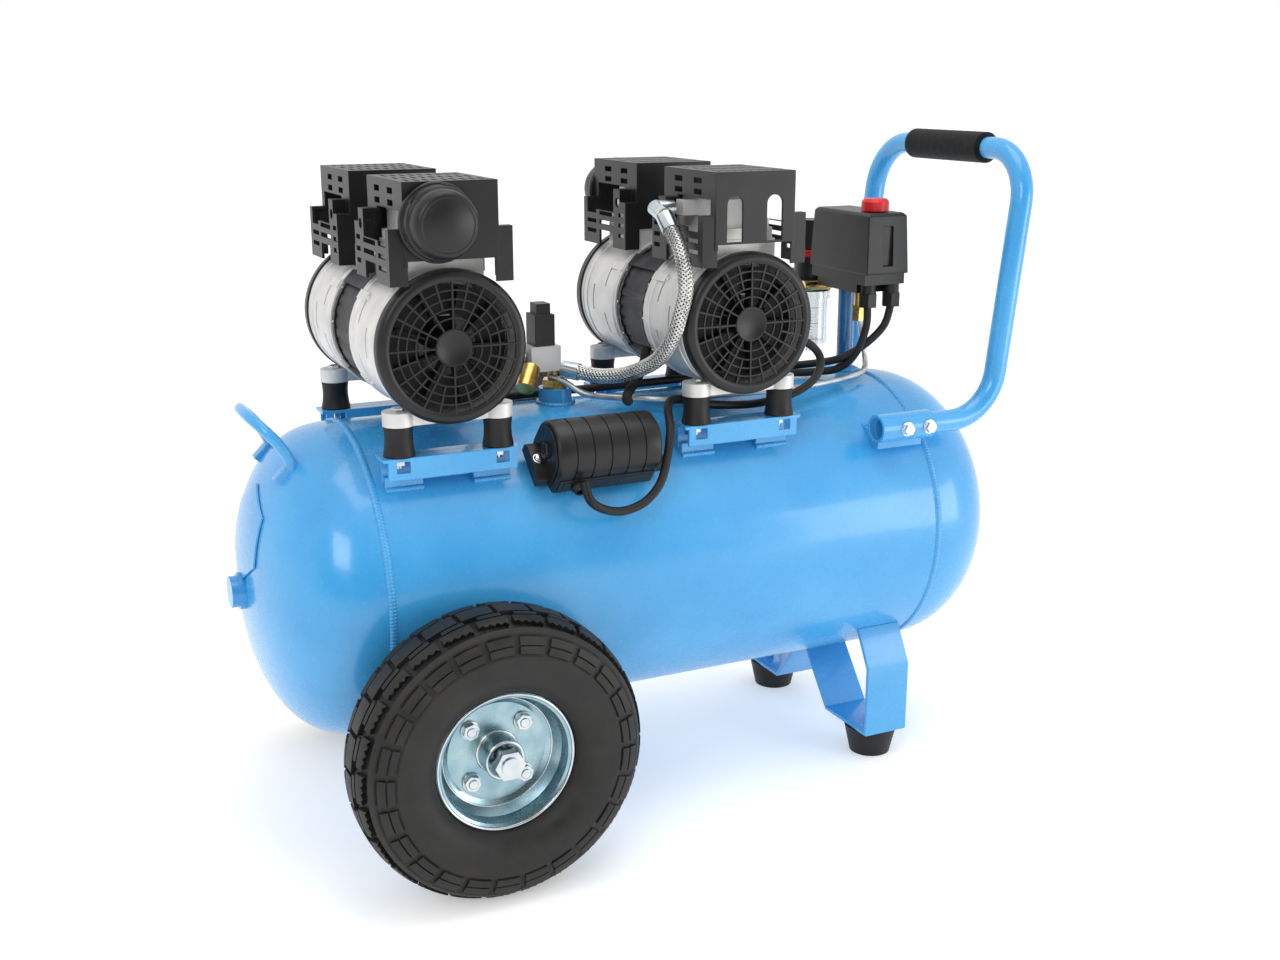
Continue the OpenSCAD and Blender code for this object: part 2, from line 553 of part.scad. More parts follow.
module cables() color("#202020") {
    for (route = [lead_near, lead_far, switch_lead_short, switch_lead_long]) swept(route, 4, cable_sides, 3);
    swept(sleeve_near, 4.5, cable_sides, 3);
}

// Pressure switch
module switch_base() color("#2a2a2a") difference() {
    union() {
        block([switch_x - 24, switch_x + 24], [-50, 50], [486, 497]);
        block([switch_x - 20, switch_x + 20], [-30, 44], [476, 486]);
    }
    for (p = gland_at) translate([p.x, p.y, 475]) cylinder(h = 11, r = 8);
}
module switch_cover() color("#2d2d2d") difference() {
    hull() {
        block([switch_x - 25, switch_x + 25], [-55, 53], [497, 500]);
        block([switch_x - 23, switch_x + 23], [-52, 50], [552, 555]);
        block([switch_x - 20, switch_x + 20], [-49, 47], [556, 558]);
    }
    block([switch_x - 22, switch_x + 22], [-49, 49], [490, 553]);
    block([switch_x - 6, switch_x + 6], [-60, -50.5], [505, 545]);
    translate([switch_x, -28, 550]) cylinder(h = 10, r = 9.06);
}
module switch_knob() color("#d8262c") translate([switch_x, -28, 0]) {
    translate([0, 0, 540]) cylinder(h = 19, r = 9);
    translate([0, 0, 559]) cylinder(h = 9, r = 14);
    translate([0, 0, 568]) cylinder(h = 3, r1 = 14, r2 = 11.5);
}
module cable_glands() color("#1f1f1f") for (p = gland_at) translate([p.x, p.y, 0]) {
    translate([0, 0, 462]) hex(14, 17);
    translate([0, 0, 476]) cylinder(h = 10, r = 8);
}

// Filter-regulator beside the switch
module at_regulator(z = 0) translate([reg_x, reg_y, z]) children();
module at_outlet() translate([reg_x, reg_y, 474]) rotate([-90, 0, 0]) children();
module regulator_body() color("#262626") difference() {
    union() {
        at_regulator(z = 466) cylinder(h = 14, r = 21);
        at_regulator(z = 480) cylinder(h = 22, r = 19);
    }
    at_regulator(z = 484) cylinder(h = 30, r = 8.06);
}
module lock_ring() color("#c8202a") at_regulator() difference() {
    translate([0, 0, 502.4]) cylinder(h = 8, r = 17.5);
    translate([0, 0, 501]) cylinder(h = 12, r = 8.06);
}
module regulator_knob() color("#242424") at_regulator() {
    translate([0, 0, 503]) cylinder(h = 9, r = 8);
    translate([0, 0, 511]) cylinder(h = 31, r = 15.5);
}
module filter_bowl() color("#d6dee2") at_regulator() difference() {
    union() {
        translate([0, 0, 458]) cylinder(h = 8, r = 20.5);
        translate([0, 0, 408]) cylinder(h = 50, r = 18);
        translate([0, 0, 399]) cylinder(h = 9, r = 5);
    }
    translate([0, 0, 411]) cylinder(h = 56, r = 15.5);
}
module at_gauge() translate([reg_x + 19, reg_y, 490]) rotate([0, 90, 0]) children();
module gauge() color("#2a2a2a") at_gauge() {
    hex(10, 14);
    difference() {
        translate([0, 0, 10]) cylinder(h = 22, r = 21);
        translate([0, 0, 14]) cylinder(h = 20, r = 19);
    }
    difference() {
        translate([0, 0, 14]) cylinder(h = 1, r = 19);
        translate([0, 0, 13]) cylinder(h = 4, r = 1.55);
    }
}
module gauge_needle() color("#101010") at_gauge() {
    translate([0, 0, 14.3]) cylinder(h = 3, r = 1.5);
    translate([0, 0, 16.5]) rotate(45) translate([-5, -0.6, 0]) cube([20, 1.2, 0.8]);
}
module coupler_body() color("#c9a24a") at_outlet() difference() {
    union() {
        translate([0, 0, 21]) hex(9, 19);
        translate([0, 0, 29]) cylinder(h = 24, r = 9);
    }
    translate([0, 0, 23]) cylinder(h = 40, r = 5.2);
}
module coupler_sleeve() color("#c3c7c9") at_outlet() difference() {
    translate([0, 0, 35]) cylinder(h = 20, r = 12);
    translate([0, 0, 34]) cylinder(h = 22, r = 9.06);
}

tank_barrel();
tank_heads();
weld_seams();
tank_fittings();
tow_eye();
data_plate();
axle_bracket();
axle();
rim_near();
rim_far();
tyre_near();
tyre_far();
leg_brackets();
rubber_feet();
frame_bolts();
motor_rails();
rubber_mounts();
mount_nuts();
handle_sockets();
handle_tube();
foam_grip();
castings_left();
castings_right();
stators();
rotor_left();
rotor_right();
fan_guards();
heads_left();
heads_right();
covers_left();
covers_right();
intake_filters();
piston_left_near();
piston_left_far();
piston_right_near();
piston_right_far();
hose_fittings();
braided_hoses();
manifold();
solenoid();
brass_fittings();
unloader_tube();
capacitor_boxes();
cables();
riser_pipe();
switch_base();
switch_cover();
switch_knob();
cable_glands();
safety_ring();
regulator_body();
lock_ring();
regulator_knob();
filter_bowl();
gauge();
gauge_needle();
coupler_body();
coupler_sleeve();
drain_valve();
drain_handle();
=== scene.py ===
from math import acos, cos, pi, radians, sin, sqrt

import bmesh
import bpy
from mathutils import Matrix, Vector


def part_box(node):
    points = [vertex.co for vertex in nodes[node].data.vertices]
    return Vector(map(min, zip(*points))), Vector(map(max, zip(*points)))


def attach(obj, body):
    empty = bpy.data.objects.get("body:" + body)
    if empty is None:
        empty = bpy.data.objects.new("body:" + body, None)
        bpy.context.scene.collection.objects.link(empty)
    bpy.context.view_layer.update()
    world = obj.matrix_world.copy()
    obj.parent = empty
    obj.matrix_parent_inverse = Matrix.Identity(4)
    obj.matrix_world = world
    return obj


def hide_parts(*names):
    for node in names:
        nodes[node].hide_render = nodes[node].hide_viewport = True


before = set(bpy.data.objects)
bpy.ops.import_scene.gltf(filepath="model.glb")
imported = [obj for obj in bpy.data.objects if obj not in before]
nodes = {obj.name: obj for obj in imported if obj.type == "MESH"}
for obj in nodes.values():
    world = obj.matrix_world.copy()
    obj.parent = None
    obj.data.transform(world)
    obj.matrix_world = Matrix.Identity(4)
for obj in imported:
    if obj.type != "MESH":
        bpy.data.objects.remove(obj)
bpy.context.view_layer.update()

mm = 0.001
print("frame loaded:", len(nodes), "nodes")


studio = {
    "cameraAt": (-0.606945, -1.295475, 0.6895),
    "cameraPitch": 0.266233,
    "cameraYaw": 0.448279,
    "lens": 41.52,
    "sensor": 36.0,
    "floor": "#efefee",
    "floorGlow": 0.34,
    # the room is dimmer towards this side, so that black faces turned to it stay black
    "dimSide": (-0.352, -0.936, 0.0),
    "dimTo": 0.12,
    "dimFrom": 0.45,
    "dimFull": 0.8,
    "floorHalf": 60.0,
    # name, place, size, watts
    "softboxes": [
        ("key", (-1.6, -1.9, 1.7), 1.1, 20),
        ("top", (0.1, -0.2, 2.2), 1.3, 12),
        ("side", (1.75, -1.8, 0.45), 1.1, 15),
    ],
    "aimAt": (0.0, 0.0, 0.3),
}


def linear(hexColour):
    parts = [int(hexColour[i:i + 2], 16) / 255 for i in (1, 3, 5)]
    return [c / 12.92 if c <= 0.04045 else ((c + 0.055) / 1.055) ** 2.4 for c in parts] + [1.0]


def addNode(tree, kind, inputs=None, stops=(), **settings):
    node = tree.nodes.new("ShaderNode" + kind)
    for key, value in settings.items():
        setattr(node, key, value)
    for key, value in (inputs or {}).items():
        if isinstance(value, bpy.types.NodeSocket):
            tree.links.new(value, node.inputs[key])
        else:
            node.inputs[key].default_value = value
    if stops:
        ends = node.color_ramp.elements
        for place, colour in stops[1:-1]:
            ends.new(place).color = linear(colour)
        ends[0].position, ends[0].color = stops[0][0], linear(stops[0][1])
        ends[-1].position, ends[-1].color = stops[-1][0], linear(stops[-1][1])
    return node


def newMaterial(name, fixed):
    material = bpy.data.materials.new(name)
    material.use_nodes = True
    tree = material.node_tree
    tree.nodes.clear()
    skin = addNode(tree, "BsdfPrincipled", fixed)
    addNode(tree, "OutputMaterial", {"Surface": skin.outputs[0]})
    return material, tree, skin, addNode(tree, "TexCoord").outputs["Object"]


def plugIn(tree, skin, colour=None, roughness=None, bump=None, depth=0.1, strength=0.4):
    # depth is the bump's height in millimetres
    if colour is not None:
        tree.links.new(colour, skin.inputs["Base Color"])
    if roughness is not None:
        tree.links.new(roughness, skin.inputs["Roughness"])
    if bump is not None:
        dent = addNode(tree, "Bump", {"Height": bump, "Distance": depth * mm, "Strength": strength})
        tree.links.new(dent.outputs[0], skin.inputs["Normal"])


finishes = {
    "blue": ["#3798d6", "#419fdb", "#4ca7e1"],
    "deepBlue": ["#1c5d92", "#24699f", "#2c76b0"],
    "black": ["#0f0f10", "#151515", "#1d1c1c"],
    # rotor steel drawn near black: painted shade for the dark inside of the motor seen through the grilles
    "rotorSteelPaintedShade": ["#0d0d0e", "#151517", "#202023"],
    "tyre": ["#191817", "#232221", "#302e2c"],
    "rubber": ["#131313", "#1a1a1a", "#242322"],
    "foam": ["#0e0e0f", "#161617", "#202021"],
    "casting": ["#cfcecc", "#d8d7d5", "#e1e0de"],
    "lamination": ["#2a2a2c", "#3a3a3d", "#4c4c50"],
    "zinc": ["#b4c0c8", "#c6ced3", "#d4d6d2"],
    # rim zinc: blue passivation tint, and drawn darker than the bolts' zinc as painted shade for the rim's
    # dark reflections
    "rimZincTintAndPaintedShade": ["#84a3b0", "#93b0ba", "#a6bcc0"],
    "steel": ["#a8a7a4", "#c6c5c1", "#dddcd8"],
    "brass": ["#b18d46", "#cfae66", "#e0c68a"],
    "aluminium": ["#b9bbbc", "#cccecf", "#dcdddd"],
    "dial": ["#e4e4df", "#ecece8", "#f2f2ef"],
    "red": ["#b8141c", "#d01c24", "#dc2c33"],
}


def powderCoat(name, shades):
    # powder-coated steel, sprayed and baked: a glossy skin with faint orange peel, sinking a little unevenly
    material, tree, skin, place = newMaterial(name, {"IOR": 1.5, "Coat Weight": 0.35, "Coat Roughness": 0.08})
    cloud = addNode(tree, "TexNoise", {"Vector": place, "Scale": 1 / (90 * mm), "Detail": 3.0})
    peel = addNode(tree, "TexNoise", {"Vector": place, "Scale": 1 / (6 * mm), "Detail": 1.0})
    ramp = addNode(tree, "ValToRGB", {"Fac": cloud.outputs[0]}, list(zip((0.3, 0.5, 0.72), shades)))
    rough = addNode(tree, "MapRange", {"Value": peel.outputs[0], "To Min": 0.2, "To Max": 0.32})
    plugIn(tree, skin, ramp.outputs[0], rough.outputs[0], peel.outputs[0], 0.06, 0.14)
    return material


def mouldedPlastic(name, shades, grainMm, low, high):
    # glass-filled nylon or ABS, injection moulded: spark-eroded grain that spreads the highlight
    material, tree, skin, place = newMaterial(name, {"IOR": 1.5, "Specular IOR Level": 0.4})
    grain = addNode(tree, "TexNoise", {"Vector": place, "Scale": 1 / (grainMm * mm), "Detail": 4.0})
    flow = addNode(tree, "TexNoise", {"Vector": place, "Scale": 1 / (35 * mm), "Detail": 2.0})
    ramp = addNode(tree, "ValToRGB", {"Fac": flow.outputs[0]}, list(zip((0.3, 0.5, 0.75), shades)))
    rough = addNode(tree, "MapRange", {"Value": grain.outputs[0], "To Min": low, "To Max": high})
    plugIn(tree, skin, ramp.outputs[0], rough.outputs[0], grain.outputs[0], 0.06, 0.35)
    return material


def mouldedRubber(name, shades, low, high):
    # vulcanised rubber, moulded: dull with grey bloom in patches and a fine dusty grain
    material, tree, skin, place = newMaterial(name, {"IOR": 1.5, "Specular IOR Level": 0.35})
    bloom = addNode(tree, "TexNoise", {"Vector": place, "Scale": 1 / (28 * mm), "Detail": 5.0,
                                       "Roughness": 0.6})
    grit = addNode(tree, "TexNoise", {"Vector": place, "Scale": 1 / (1.2 * mm), "Detail": 3.0})
    ramp = addNode(tree, "ValToRGB", {"Fac": bloom.outputs[0]}, list(zip((0.35, 0.52, 0.75), shades)))
    rough = addNode(tree, "MapRange", {"Value": bloom.outputs[0], "From Min": 0.3, "From Max": 0.7,
                                       "To Min": low, "To Max": high})
    plugIn(tree, skin, ramp.outputs[0], rough.outputs[0], grit.outputs[0], 0.08, 0.4)
    return material


def closedCellFoam(name, shades):
    # nitrile foam sleeve, expanded: no gloss at all, pores about half a millimetre wide, drawn at 1.4 to show
    material, tree, skin, place = newMaterial(name, {"IOR": 1.4, "Specular IOR Level": 0.2,
                                                     "Sheen Weight": 0.12})
    pores = addNode(tree, "TexVoronoi", {"Vector": place, "Scale": 1 / (1.4 * mm)})
    patch = addNode(tree, "TexNoise", {"Vector": place, "Scale": 1 / (6 * mm), "Detail": 4.0})
    ramp = addNode(tree, "ValToRGB", {"Fac": patch.outputs[0]}, list(zip((0.3, 0.5, 0.75), shades)))
    rough = addNode(tree, "MapRange", {"Value": patch.outputs[0], "To Min": 0.85, "To Max": 1.0})
    plugIn(tree, skin, ramp.outputs[0], rough.outputs[0], pores.outputs[0], 0.3, 0.7)
    return material


def blastedCasting(name, shades):
    # die-cast aluminium, bead blasted: an even satin grey with a fine pebble and duller low spots
    material, tree, skin, place = newMaterial(name, {"Metallic": 0.55})
    pebble = addNode(tree, "TexNoise", {"Vector": place, "Scale": 1 / (1.1 * mm), "Detail": 3.0})
    cloud = addNode(tree, "TexNoise", {"Vector": place, "Scale": 1 / (22 * mm), "Detail": 4.0})
    ramp = addNode(tree, "ValToRGB", {"Fac": cloud.outputs[0]}, list(zip((0.3, 0.5, 0.7), shades)))
    rough = addNode(tree, "MapRange", {"Value": pebble.outputs[0], "To Min": 0.42, "To Max": 0.62})
    plugIn(tree, skin, ramp.outputs[0], rough.outputs[0], pebble.outputs[0], 0.1, 0.45)
    return material


def platedMetal(name, shades, low, high, grainMm=0.9):
    # plated or machined metal: bright, with a soft cloud in the plating that shifts its tint
    material, tree, skin, place = newMaterial(name, {"Metallic": 1.0})
    tint = addNode(tree, "TexNoise", {"Vector": place, "Scale": 1 / (18 * mm), "Detail": 2.0})
    grain = addNode(tree, "TexNoise", {"Vector": place, "Scale": 1 / (grainMm * mm), "Detail": 3.0})
    ramp = addNode(tree, "ValToRGB", {"Fac": tint.outputs[0]}, list(zip((0.3, 0.5, 0.7), shades)))
    rough = addNode(tree, "MapRange", {"Value": grain.outputs[0], "To Min": low, "To Max": high})
    plugIn(tree, skin, ramp.outputs[0], rough.outputs[0], grain.outputs[0], 0.03, 0.25)
    return material


def laminatedSteel(name, shades):
    # electrical sheet, stacked and varnished: fine parallel edges, 0.5 mm in life, drawn 1.6 mm apart to show
    material, tree, skin, place = newMaterial(name, {"Metallic": 0.55})
    stack = addNode(tree, "TexWave", {"Vector": place, "Scale": 1 / (2 * pi * 1.6 * mm) * 1.99,
                                      "Distortion": 0.4, "Detail": 1.0}, bands_direction="Y")
    stain = addNode(tree, "TexNoise", {"Vector": place, "Scale": 1 / (14 * mm), "Detail": 4.0})
    ramp = addNode(tree, "ValToRGB", {"Fac": stain.outputs[0]}, list(zip((0.3, 0.5, 0.75), shades)))
    rough = addNode(tree, "MapRange", {"Value": stain.outputs[0], "To Min": 0.35, "To Max": 0.6})
    plugIn(tree, skin, ramp.outputs[0], rough.outputs[0], stack.outputs[0], 0.35, 0.8)
    return material


def clearBowl(name):
    # polycarbonate bowl, injection moulded: clear with a soft waviness in its walls
    material, tree, skin, place = newMaterial(name, {"IOR": 1.58, "Transmission Weight": 0.92,
                                                     "Base Color": linear("#eef3f5")})
    wave = addNode(tree, "TexNoise", {"Vector": place, "Scale": 1 / (9 * mm), "Detail": 1.0})
    rough = addNode(tree, "MapRange", {"Value": wave.outputs[0], "To Min": 0.03, "To Max": 0.12})
    plugIn(tree, skin, None, rough.outputs[0], wave.outputs[0], 0.1, 0.2)
    return material


def paintedFloor(name, hexColour):
    # matt backdrop paint, lit a little from within so that it runs into the room without an edge
    return newMaterial(name, {"Roughness": 0.85, "Base Color": linear(hexColour),
                              "Emission Color": (1, 1, 1, 1), "Emission Strength": studio["floorGlow"]})[0]


blueCoat = powderCoat("powderCoatBlue", finishes["blue"])
deepCoat = powderCoat("powderCoatDeepBlue", finishes["deepBlue"])
blackNylon = mouldedPlastic("mouldedBlackNylon", finishes["black"], 0.9, 0.3, 0.46)
redPlastic = mouldedPlastic("mouldedRedPlastic", finishes["red"], 1.1, 0.28, 0.4)
dialEnamel = powderCoat("stovedDialEnamel", finishes["dial"])
tyreRubber = mouldedRubber("mouldedTyreRubber", finishes["tyre"], 0.42, 0.68)
softRubber = mouldedRubber("mouldedSoftRubber", finishes["rubber"], 0.4, 0.6)
gripFoam = closedCellFoam("expandedFoam", finishes["foam"])
castAluminium = blastedCasting("blastedCastAluminium", finishes["casting"])
statorSteel = laminatedSteel("stackedStatorSteel", finishes["lamination"])
# the rotor's near-black colour is painted shade for the dark inside of the motor
rotorSteelPaintedShade = laminatedSteel("stackedRotorSteelPaintedShade", finishes["rotorSteelPaintedShade"])
zincPlate = platedMetal("zincPlatedSteel", finishes["zinc"], 0.14, 0.3)
# the rim's darker zinc is partly its blue passivation and partly painted shade
rimPlateTintAndPaintedShade = platedMetal("bluePassivatedRimPaintedShade", finishes["rimZincTintAndPaintedShade"], 0.2, 0.32)
braidSteel = platedMetal("drawnStainlessWire", finishes["steel"], 0.22, 0.36, 0.5)
brassBar = platedMetal("machinedBrass", finishes["brass"], 0.2, 0.34)
bareAluminium = platedMetal("drawnAluminium", finishes["aluminium"], 0.34, 0.48)
clearPlastic = clearBowl("mouldedClearBowl")
print("materials made")


alongX = Matrix.Rotation(pi / 2, 4, "Y")
alongY = Matrix.Rotation(-pi / 2, 4, "X")
upright = Matrix()


def at(x, y, z):
    return Matrix.Translation((x, y, z))


def facingSide(way):
    # local +Z points out to the near side (-1) or the far side (1)
    return Matrix.Rotation(-way * pi / 2, 4, "X")


def lathe(bm, profile, steps, place, closed=False):
    rings = []
    for i in range(steps):
        turn = 2 * pi * i / steps
        rings.append([bm.verts.new(place @ Vector((r * cos(turn), r * sin(turn), h))) for r, h in profile])
    for i in range(steps):
        a, b = rings[i], rings[(i + 1) % steps]
        for k in range(len(profile) if closed else len(profile) - 1):
            m = (k + 1) % len(profile)
            bm.faces.new((a[k], b[k], b[m], a[m]))


def slab(bm, low, high, place=upright):
    corners = [bm.verts.new(place @ Vector((x, y, z))) for x in (low[0], high[0]) for y in (low[1], high[1])
               for z in (low[2], high[2])]
    for face in ((0, 1, 3, 2), (4, 6, 7, 5), (0, 4, 5, 1), (2, 3, 7, 6), (0, 2, 6, 4), (1, 5, 7, 3)):
        bm.faces.new([corners[k] for k in face])


def prism(bm, outline, low, high, place=upright):
    bottom = [bm.verts.new(place @ Vector((x, y, low))) for x, y in outline]
    top = [bm.verts.new(place @ Vector((x, y, high))) for x, y in outline]
    bm.faces.new(bottom[::-1])
    bm.faces.new(top)
    for i in range(len(outline)):
        k = (i + 1) % len(outline)
        bm.faces.new((bottom[i], bottom[k], top[k], top[i]))


def ngon(radius, sides):
    return [(radius * cos(2 * pi * i / sides), radius * sin(2 * pi * i / sides)) for i in range(sides)]


def roundSection(r, h, wide, high, turnStep):
    return [(r + wide * cos(radians(a)), h + high * sin(radians(a))) for a in range(0, 360, turnStep)]


def splinePoint(a, b, c, d, t):
    return 0.5 * (2 * b + (c - a) * t + (2 * a - 5 * b + 4 * c - d) * t * t
                  + (3 * b - a - 3 * c + d) * t ** 3)


def smoothLine(route, steps):
    p = [Vector(q) for q in route]
    last = len(p) - 1
    line = [splinePoint(p[max(i - 1, 0)], p[i], p[i + 1], p[min(i + 2, last)], s / steps)
            for i in range(last) for s in range(steps)]
    return line + [p[-1]]


def bentLine(corners, bend, steps):
    p = [Vector(q) for q in corners]
    line = [p[0]]
    for i in range(1, len(p) - 1):
        a, b = (p[i] - p[i - 1]).normalized(), (p[i + 1] - p[i]).normalized()
        turn = acos(a.dot(b))
        centre = p[i] + (b - a).normalized() * bend / cos(turn / 2)
        out = (p[i] - a * bend * (sin(turn / 2) / cos(turn / 2)) - centre).normalized()
        line += [centre + bend * (cos(turn * s / steps) * out + sin(turn * s / steps) * a)
                 for s in range(steps + 1)]
    return line + [p[-1]]


def carryFrame(line):
    # each point with its tangent and two side directions that turn as little as possible
    frames = []
    side = None
    for i, point in enumerate(line):
        tangent = (line[min(i + 1, len(line) - 1)] - line[max(i - 1, 0)]).normalized()
        if side is None:
            side = Vector((1, 0, 0)) if abs(tangent.z) > 0.9 else Vector((0, 0, 1))
        side = (side - side.dot(tangent) * tangent).normalized()
        frames.append((point, tangent, side, tangent.cross(side)))
    return frames


def ringAt(bm, point, u, w, r, sides):
    return [bm.verts.new(point + r * (cos(2 * pi * k / sides) * u + sin(2 * pi * k / sides) * w))
            for k in range(sides)]


def loft(bm, rings, capped=True):
    for a, b in zip(rings, rings[1:]):
        for k in range(len(a)):
            m = (k + 1) % len(a)
            bm.faces.new((a[k], a[m], b[m], b[k]))
    if capped:
        bm.faces.new(rings[0][::-1])
        bm.faces.new(rings[-1])


def tube(bm, line, radius, sides):
    rings = []
    for i, (point, _, u, w) in enumerate(carryFrame(line)):
        r = radius(i) if callable(radius) else radius
        rings.append(ringAt(bm, point, u, w, r, sides))
    loft(bm, rings)


def bead(bm, route, radius, pitch=3.0, steps=4):
    # one ripple for each drop of weld metal
    line = smoothLine(route, max(2, int((Vector(route[1]) - Vector(route[0])).length / pitch * steps)))
    tube(bm, line, lambda i: radius * (0.84 + 0.16 * abs(sin(pi * i / steps))), 10)


def soften(piece, bevel, angle):
    edge = piece.modifiers.new("softEdges", "BEVEL")
    edge.width = bevel * mm
    edge.segments = 2
    edge.limit_method = "ANGLE"
    edge.angle_limit = radians(angle)
    return edge


def finishPiece(name, bm, material, body, replaced=(), sharp=38, bevel=0.0, weld=True):
    if weld:
        bmesh.ops.remove_doubles(bm, verts=bm.verts, dist=1e-3)
    bmesh.ops.recalc_face_normals(bm, faces=bm.faces)
    bmesh.ops.scale(bm, vec=(mm, mm, mm), verts=bm.verts)
    for face in bm.faces:
        face.smooth = True
    for edge in bm.edges:
        edge.smooth = edge.calc_face_angle(0.0) < radians(sharp)
    mesh = bpy.data.meshes.new(name)
    bm.to_mesh(mesh)
    bm.free()
    mesh.materials.append(material)
    piece = bpy.data.objects.new(name, mesh)
    bpy.context.scene.collection.objects.link(piece)
    if bevel:
        soften(piece, bevel, sharp).harden_normals = True
    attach(piece, body)
    if replaced:
        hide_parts(*replaced)
    return piece


def dress(nodeName, material, bevel=0.0):
    part = nodes[nodeName]
    for holder in part.material_slots:
        holder.material = material
    if bevel:
        weld = part.modifiers.new("joinFaces", "WELD")
        weld.merge_threshold = 0.002 * mm
        soften(part, bevel, 32)
        normals = part.modifiers.new("evenShading", "WEIGHTED_NORMAL")
        normals.keep_sharp = False


def middle(nodeName):
    low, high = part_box(nodeName)
    return (low + high) / 2 / mm, (high - low) / mm


tank = {
    "headPower": 2.3, "headSteps": 36, "turnSteps": 144, "seamIn": 5.2,
    # seam bead: radius, length of one ripple, points per ripple and across, stretch and depth in the wall
    "beadRadius": 3.2, "ripple": 3.1, "rippleSteps": 5, "beadSides": 8,
    "beadWide": 1.25, "beadHigh": 0.85, "beadSunk": 0.8,
}
barrelMid, barrelSize = middle("tank_barrel")
headsMid, headsSize = middle("tank_heads")
tankR, tankZ = barrelSize.z / 2, barrelMid.z
barrelX = (barrelMid.x - barrelSize.x / 2, barrelMid.x + barrelSize.x / 2)
headDepth = (barrelX[0] - (headsMid.x - headsSize.x / 2), headsMid.x + headsSize.x / 2 - barrelX[1])


def domeLine(depth, radius):
    steps = tank["headSteps"]
    power = 2 / tank["headPower"]
    return [(radius * cos(pi / 2 * i / steps) ** power if i < steps else 0.0,
             depth * sin(pi / 2 * i / steps) ** power) for i in range(steps + 1)]


def topOfTank(y, grow=0.0):
    return tankZ + sqrt((tankR + grow) ** 2 - y * y)


def makeTank():
    bm = bmesh.new()
    left = [(r, barrelX[0] - h) for r, h in domeLine(headDepth[0], tankR)]
    right = [(r, barrelX[1] + h) for r, h in domeLine(headDepth[1], tankR)]
    lathe(bm, left[::-1] + right, tank["turnSteps"], at(0, 0, tankZ) @ alongX)
    finishPiece("tankShell", bm, blueCoat, "frame", ("tank_barrel", "tank_heads"))

    bm = bmesh.new()
    steps = tank["rippleSteps"]
    sides = tank["beadSides"]
    count = int(2 * pi * tankR / tank["ripple"]) * steps
    for x in (barrelX[0] + tank["seamIn"], barrelX[1] - tank["seamIn"]):
        rings = []
        for i in range(count):
            turn = 2 * pi * i / count
            lift = tank["beadRadius"] * (0.8 + 0.2 * abs(sin(pi * i / steps)))
            ring = []
            for k in range(sides + 1):
                a = pi * k / sides
                r = tankR - tank["beadSunk"] + lift * sin(a) * tank["beadHigh"]
                off = tank["beadWide"] * lift * cos(a)
                ring.append(bm.verts.new((x + off, r * cos(turn), tankZ + r * sin(turn))))
            rings.append(ring)
        for i in range(count):
            a, b = rings[i], rings[(i + 1) % count]
            for k in range(sides):
                bm.faces.new((a[k], b[k], b[k + 1], a[k + 1]))
            bm.faces.new((a[sides], b[sides], b[0], a[0]))
    finishPiece("seamWelds", bm, blueCoat, "frame", ("weld_seams",), sharp=70)


makeTank()
print("tank made")


wheel = {
    "lugs": 25, "treadDepth": 4.4, "padHeight": 2.4, "grooveShare": 0.2, "turnSteps": 250,
    # section: shape power, height, steps, and degrees by which it runs on past the widest place
    "shape": 0.76, "sectionHigh": 36, "sectionSteps": 60, "sectionOn": 52,
    "beadFoot": [(62, -22.6), (58.8, -22.3), (58.3, -14), (61, -13), (61, 13), (58.3, 14), (58.8, 22.3),
                 (62, 22.6)],
    # depth of the carcass under the tread, by degrees away from the crown
    "crownTo": 39, "ribTo": 55, "padTo": 85, "ribSunk": 0.6, "wallSunk": 0.4,
    # rows of blocks, in degrees from the widest place
    "padRows": [(8, 17.5), (19.5, 32)], "blockRow": (53.5, 71.6), "finRow": (73.8, 80.0),
    "middleRow": (82.6, 97.4), "zigzag": [0.0, 5.4, 1.4, 6.2, 2.0, 6.6, 3.0, 7.4, 4.6], "lugRoot": 1.5,
}
tyreMid, tyreSize = middle("tyre_near")
wheelX, axleZ = tyreMid.x, tyreMid.z
wheelY = abs(tyreMid.y)
tyreR, tyreHalf = tyreSize.z / 2, tyreSize.y / 2
crownR = tyreR - wheel["sectionHigh"]


def tyrePoint(turn, t, lift):
    # turn goes round the axle, t across the section in degrees, lift outward
    c, s = cos(radians(t)), sin(radians(t))
    size = wheel["shape"]

    def rounded(v, reach):
        return reach * (abs(v) ** size) * (1 if v >= 0 else -1)
    r = crownR + rounded(s, wheel["sectionHigh"] + lift)
    y = rounded(c, tyreHalf + lift)
    return Vector((r * cos(turn), r * sin(turn), y))


def sunkBy(away):
    if away < wheel["crownTo"]:
        return wheel["treadDepth"]
    if away < wheel["ribTo"]:
        return wheel["ribSunk"]
    return wheel["padHeight"] if away < wheel["padTo"] else wheel["wallSunk"]


def wheelPlace(side):
    return at(wheelX, side * wheelY, axleZ) @ facingSide(side)


def lugPatch(bm, place, turns, low, high, acrossSteps, depth):
    cols = len(turns)
    grids = []
    for level in (depth, 0.0):
        rows = []
        for i, turn in enumerate(turns):
            span = high(i) - low(i)
            row = []
            for k in range(acrossSteps + 1):
                t = low(i) + span * k / acrossSteps
                row.append(bm.verts.new(place @ tyrePoint(turn, t, level)))
            rows.append(row)
        grids.append(rows)
    under, over = grids
    for i in range(cols - 1):
        for k in range(acrossSteps):
            bm.faces.new((over[i][k], over[i + 1][k], over[i + 1][k + 1], over[i][k + 1]))
            bm.faces.new((under[i][k], under[i][k + 1], under[i + 1][k + 1], under[i + 1][k]))
        for k in (0, acrossSteps):
            bm.faces.new((under[i][k], under[i + 1][k], over[i + 1][k], over[i][k]))
    for i in (0, cols - 1):
        for k in range(acrossSteps):
            bm.faces.new((under[i][k], over[i][k], over[i][k + 1], under[i][k + 1]))


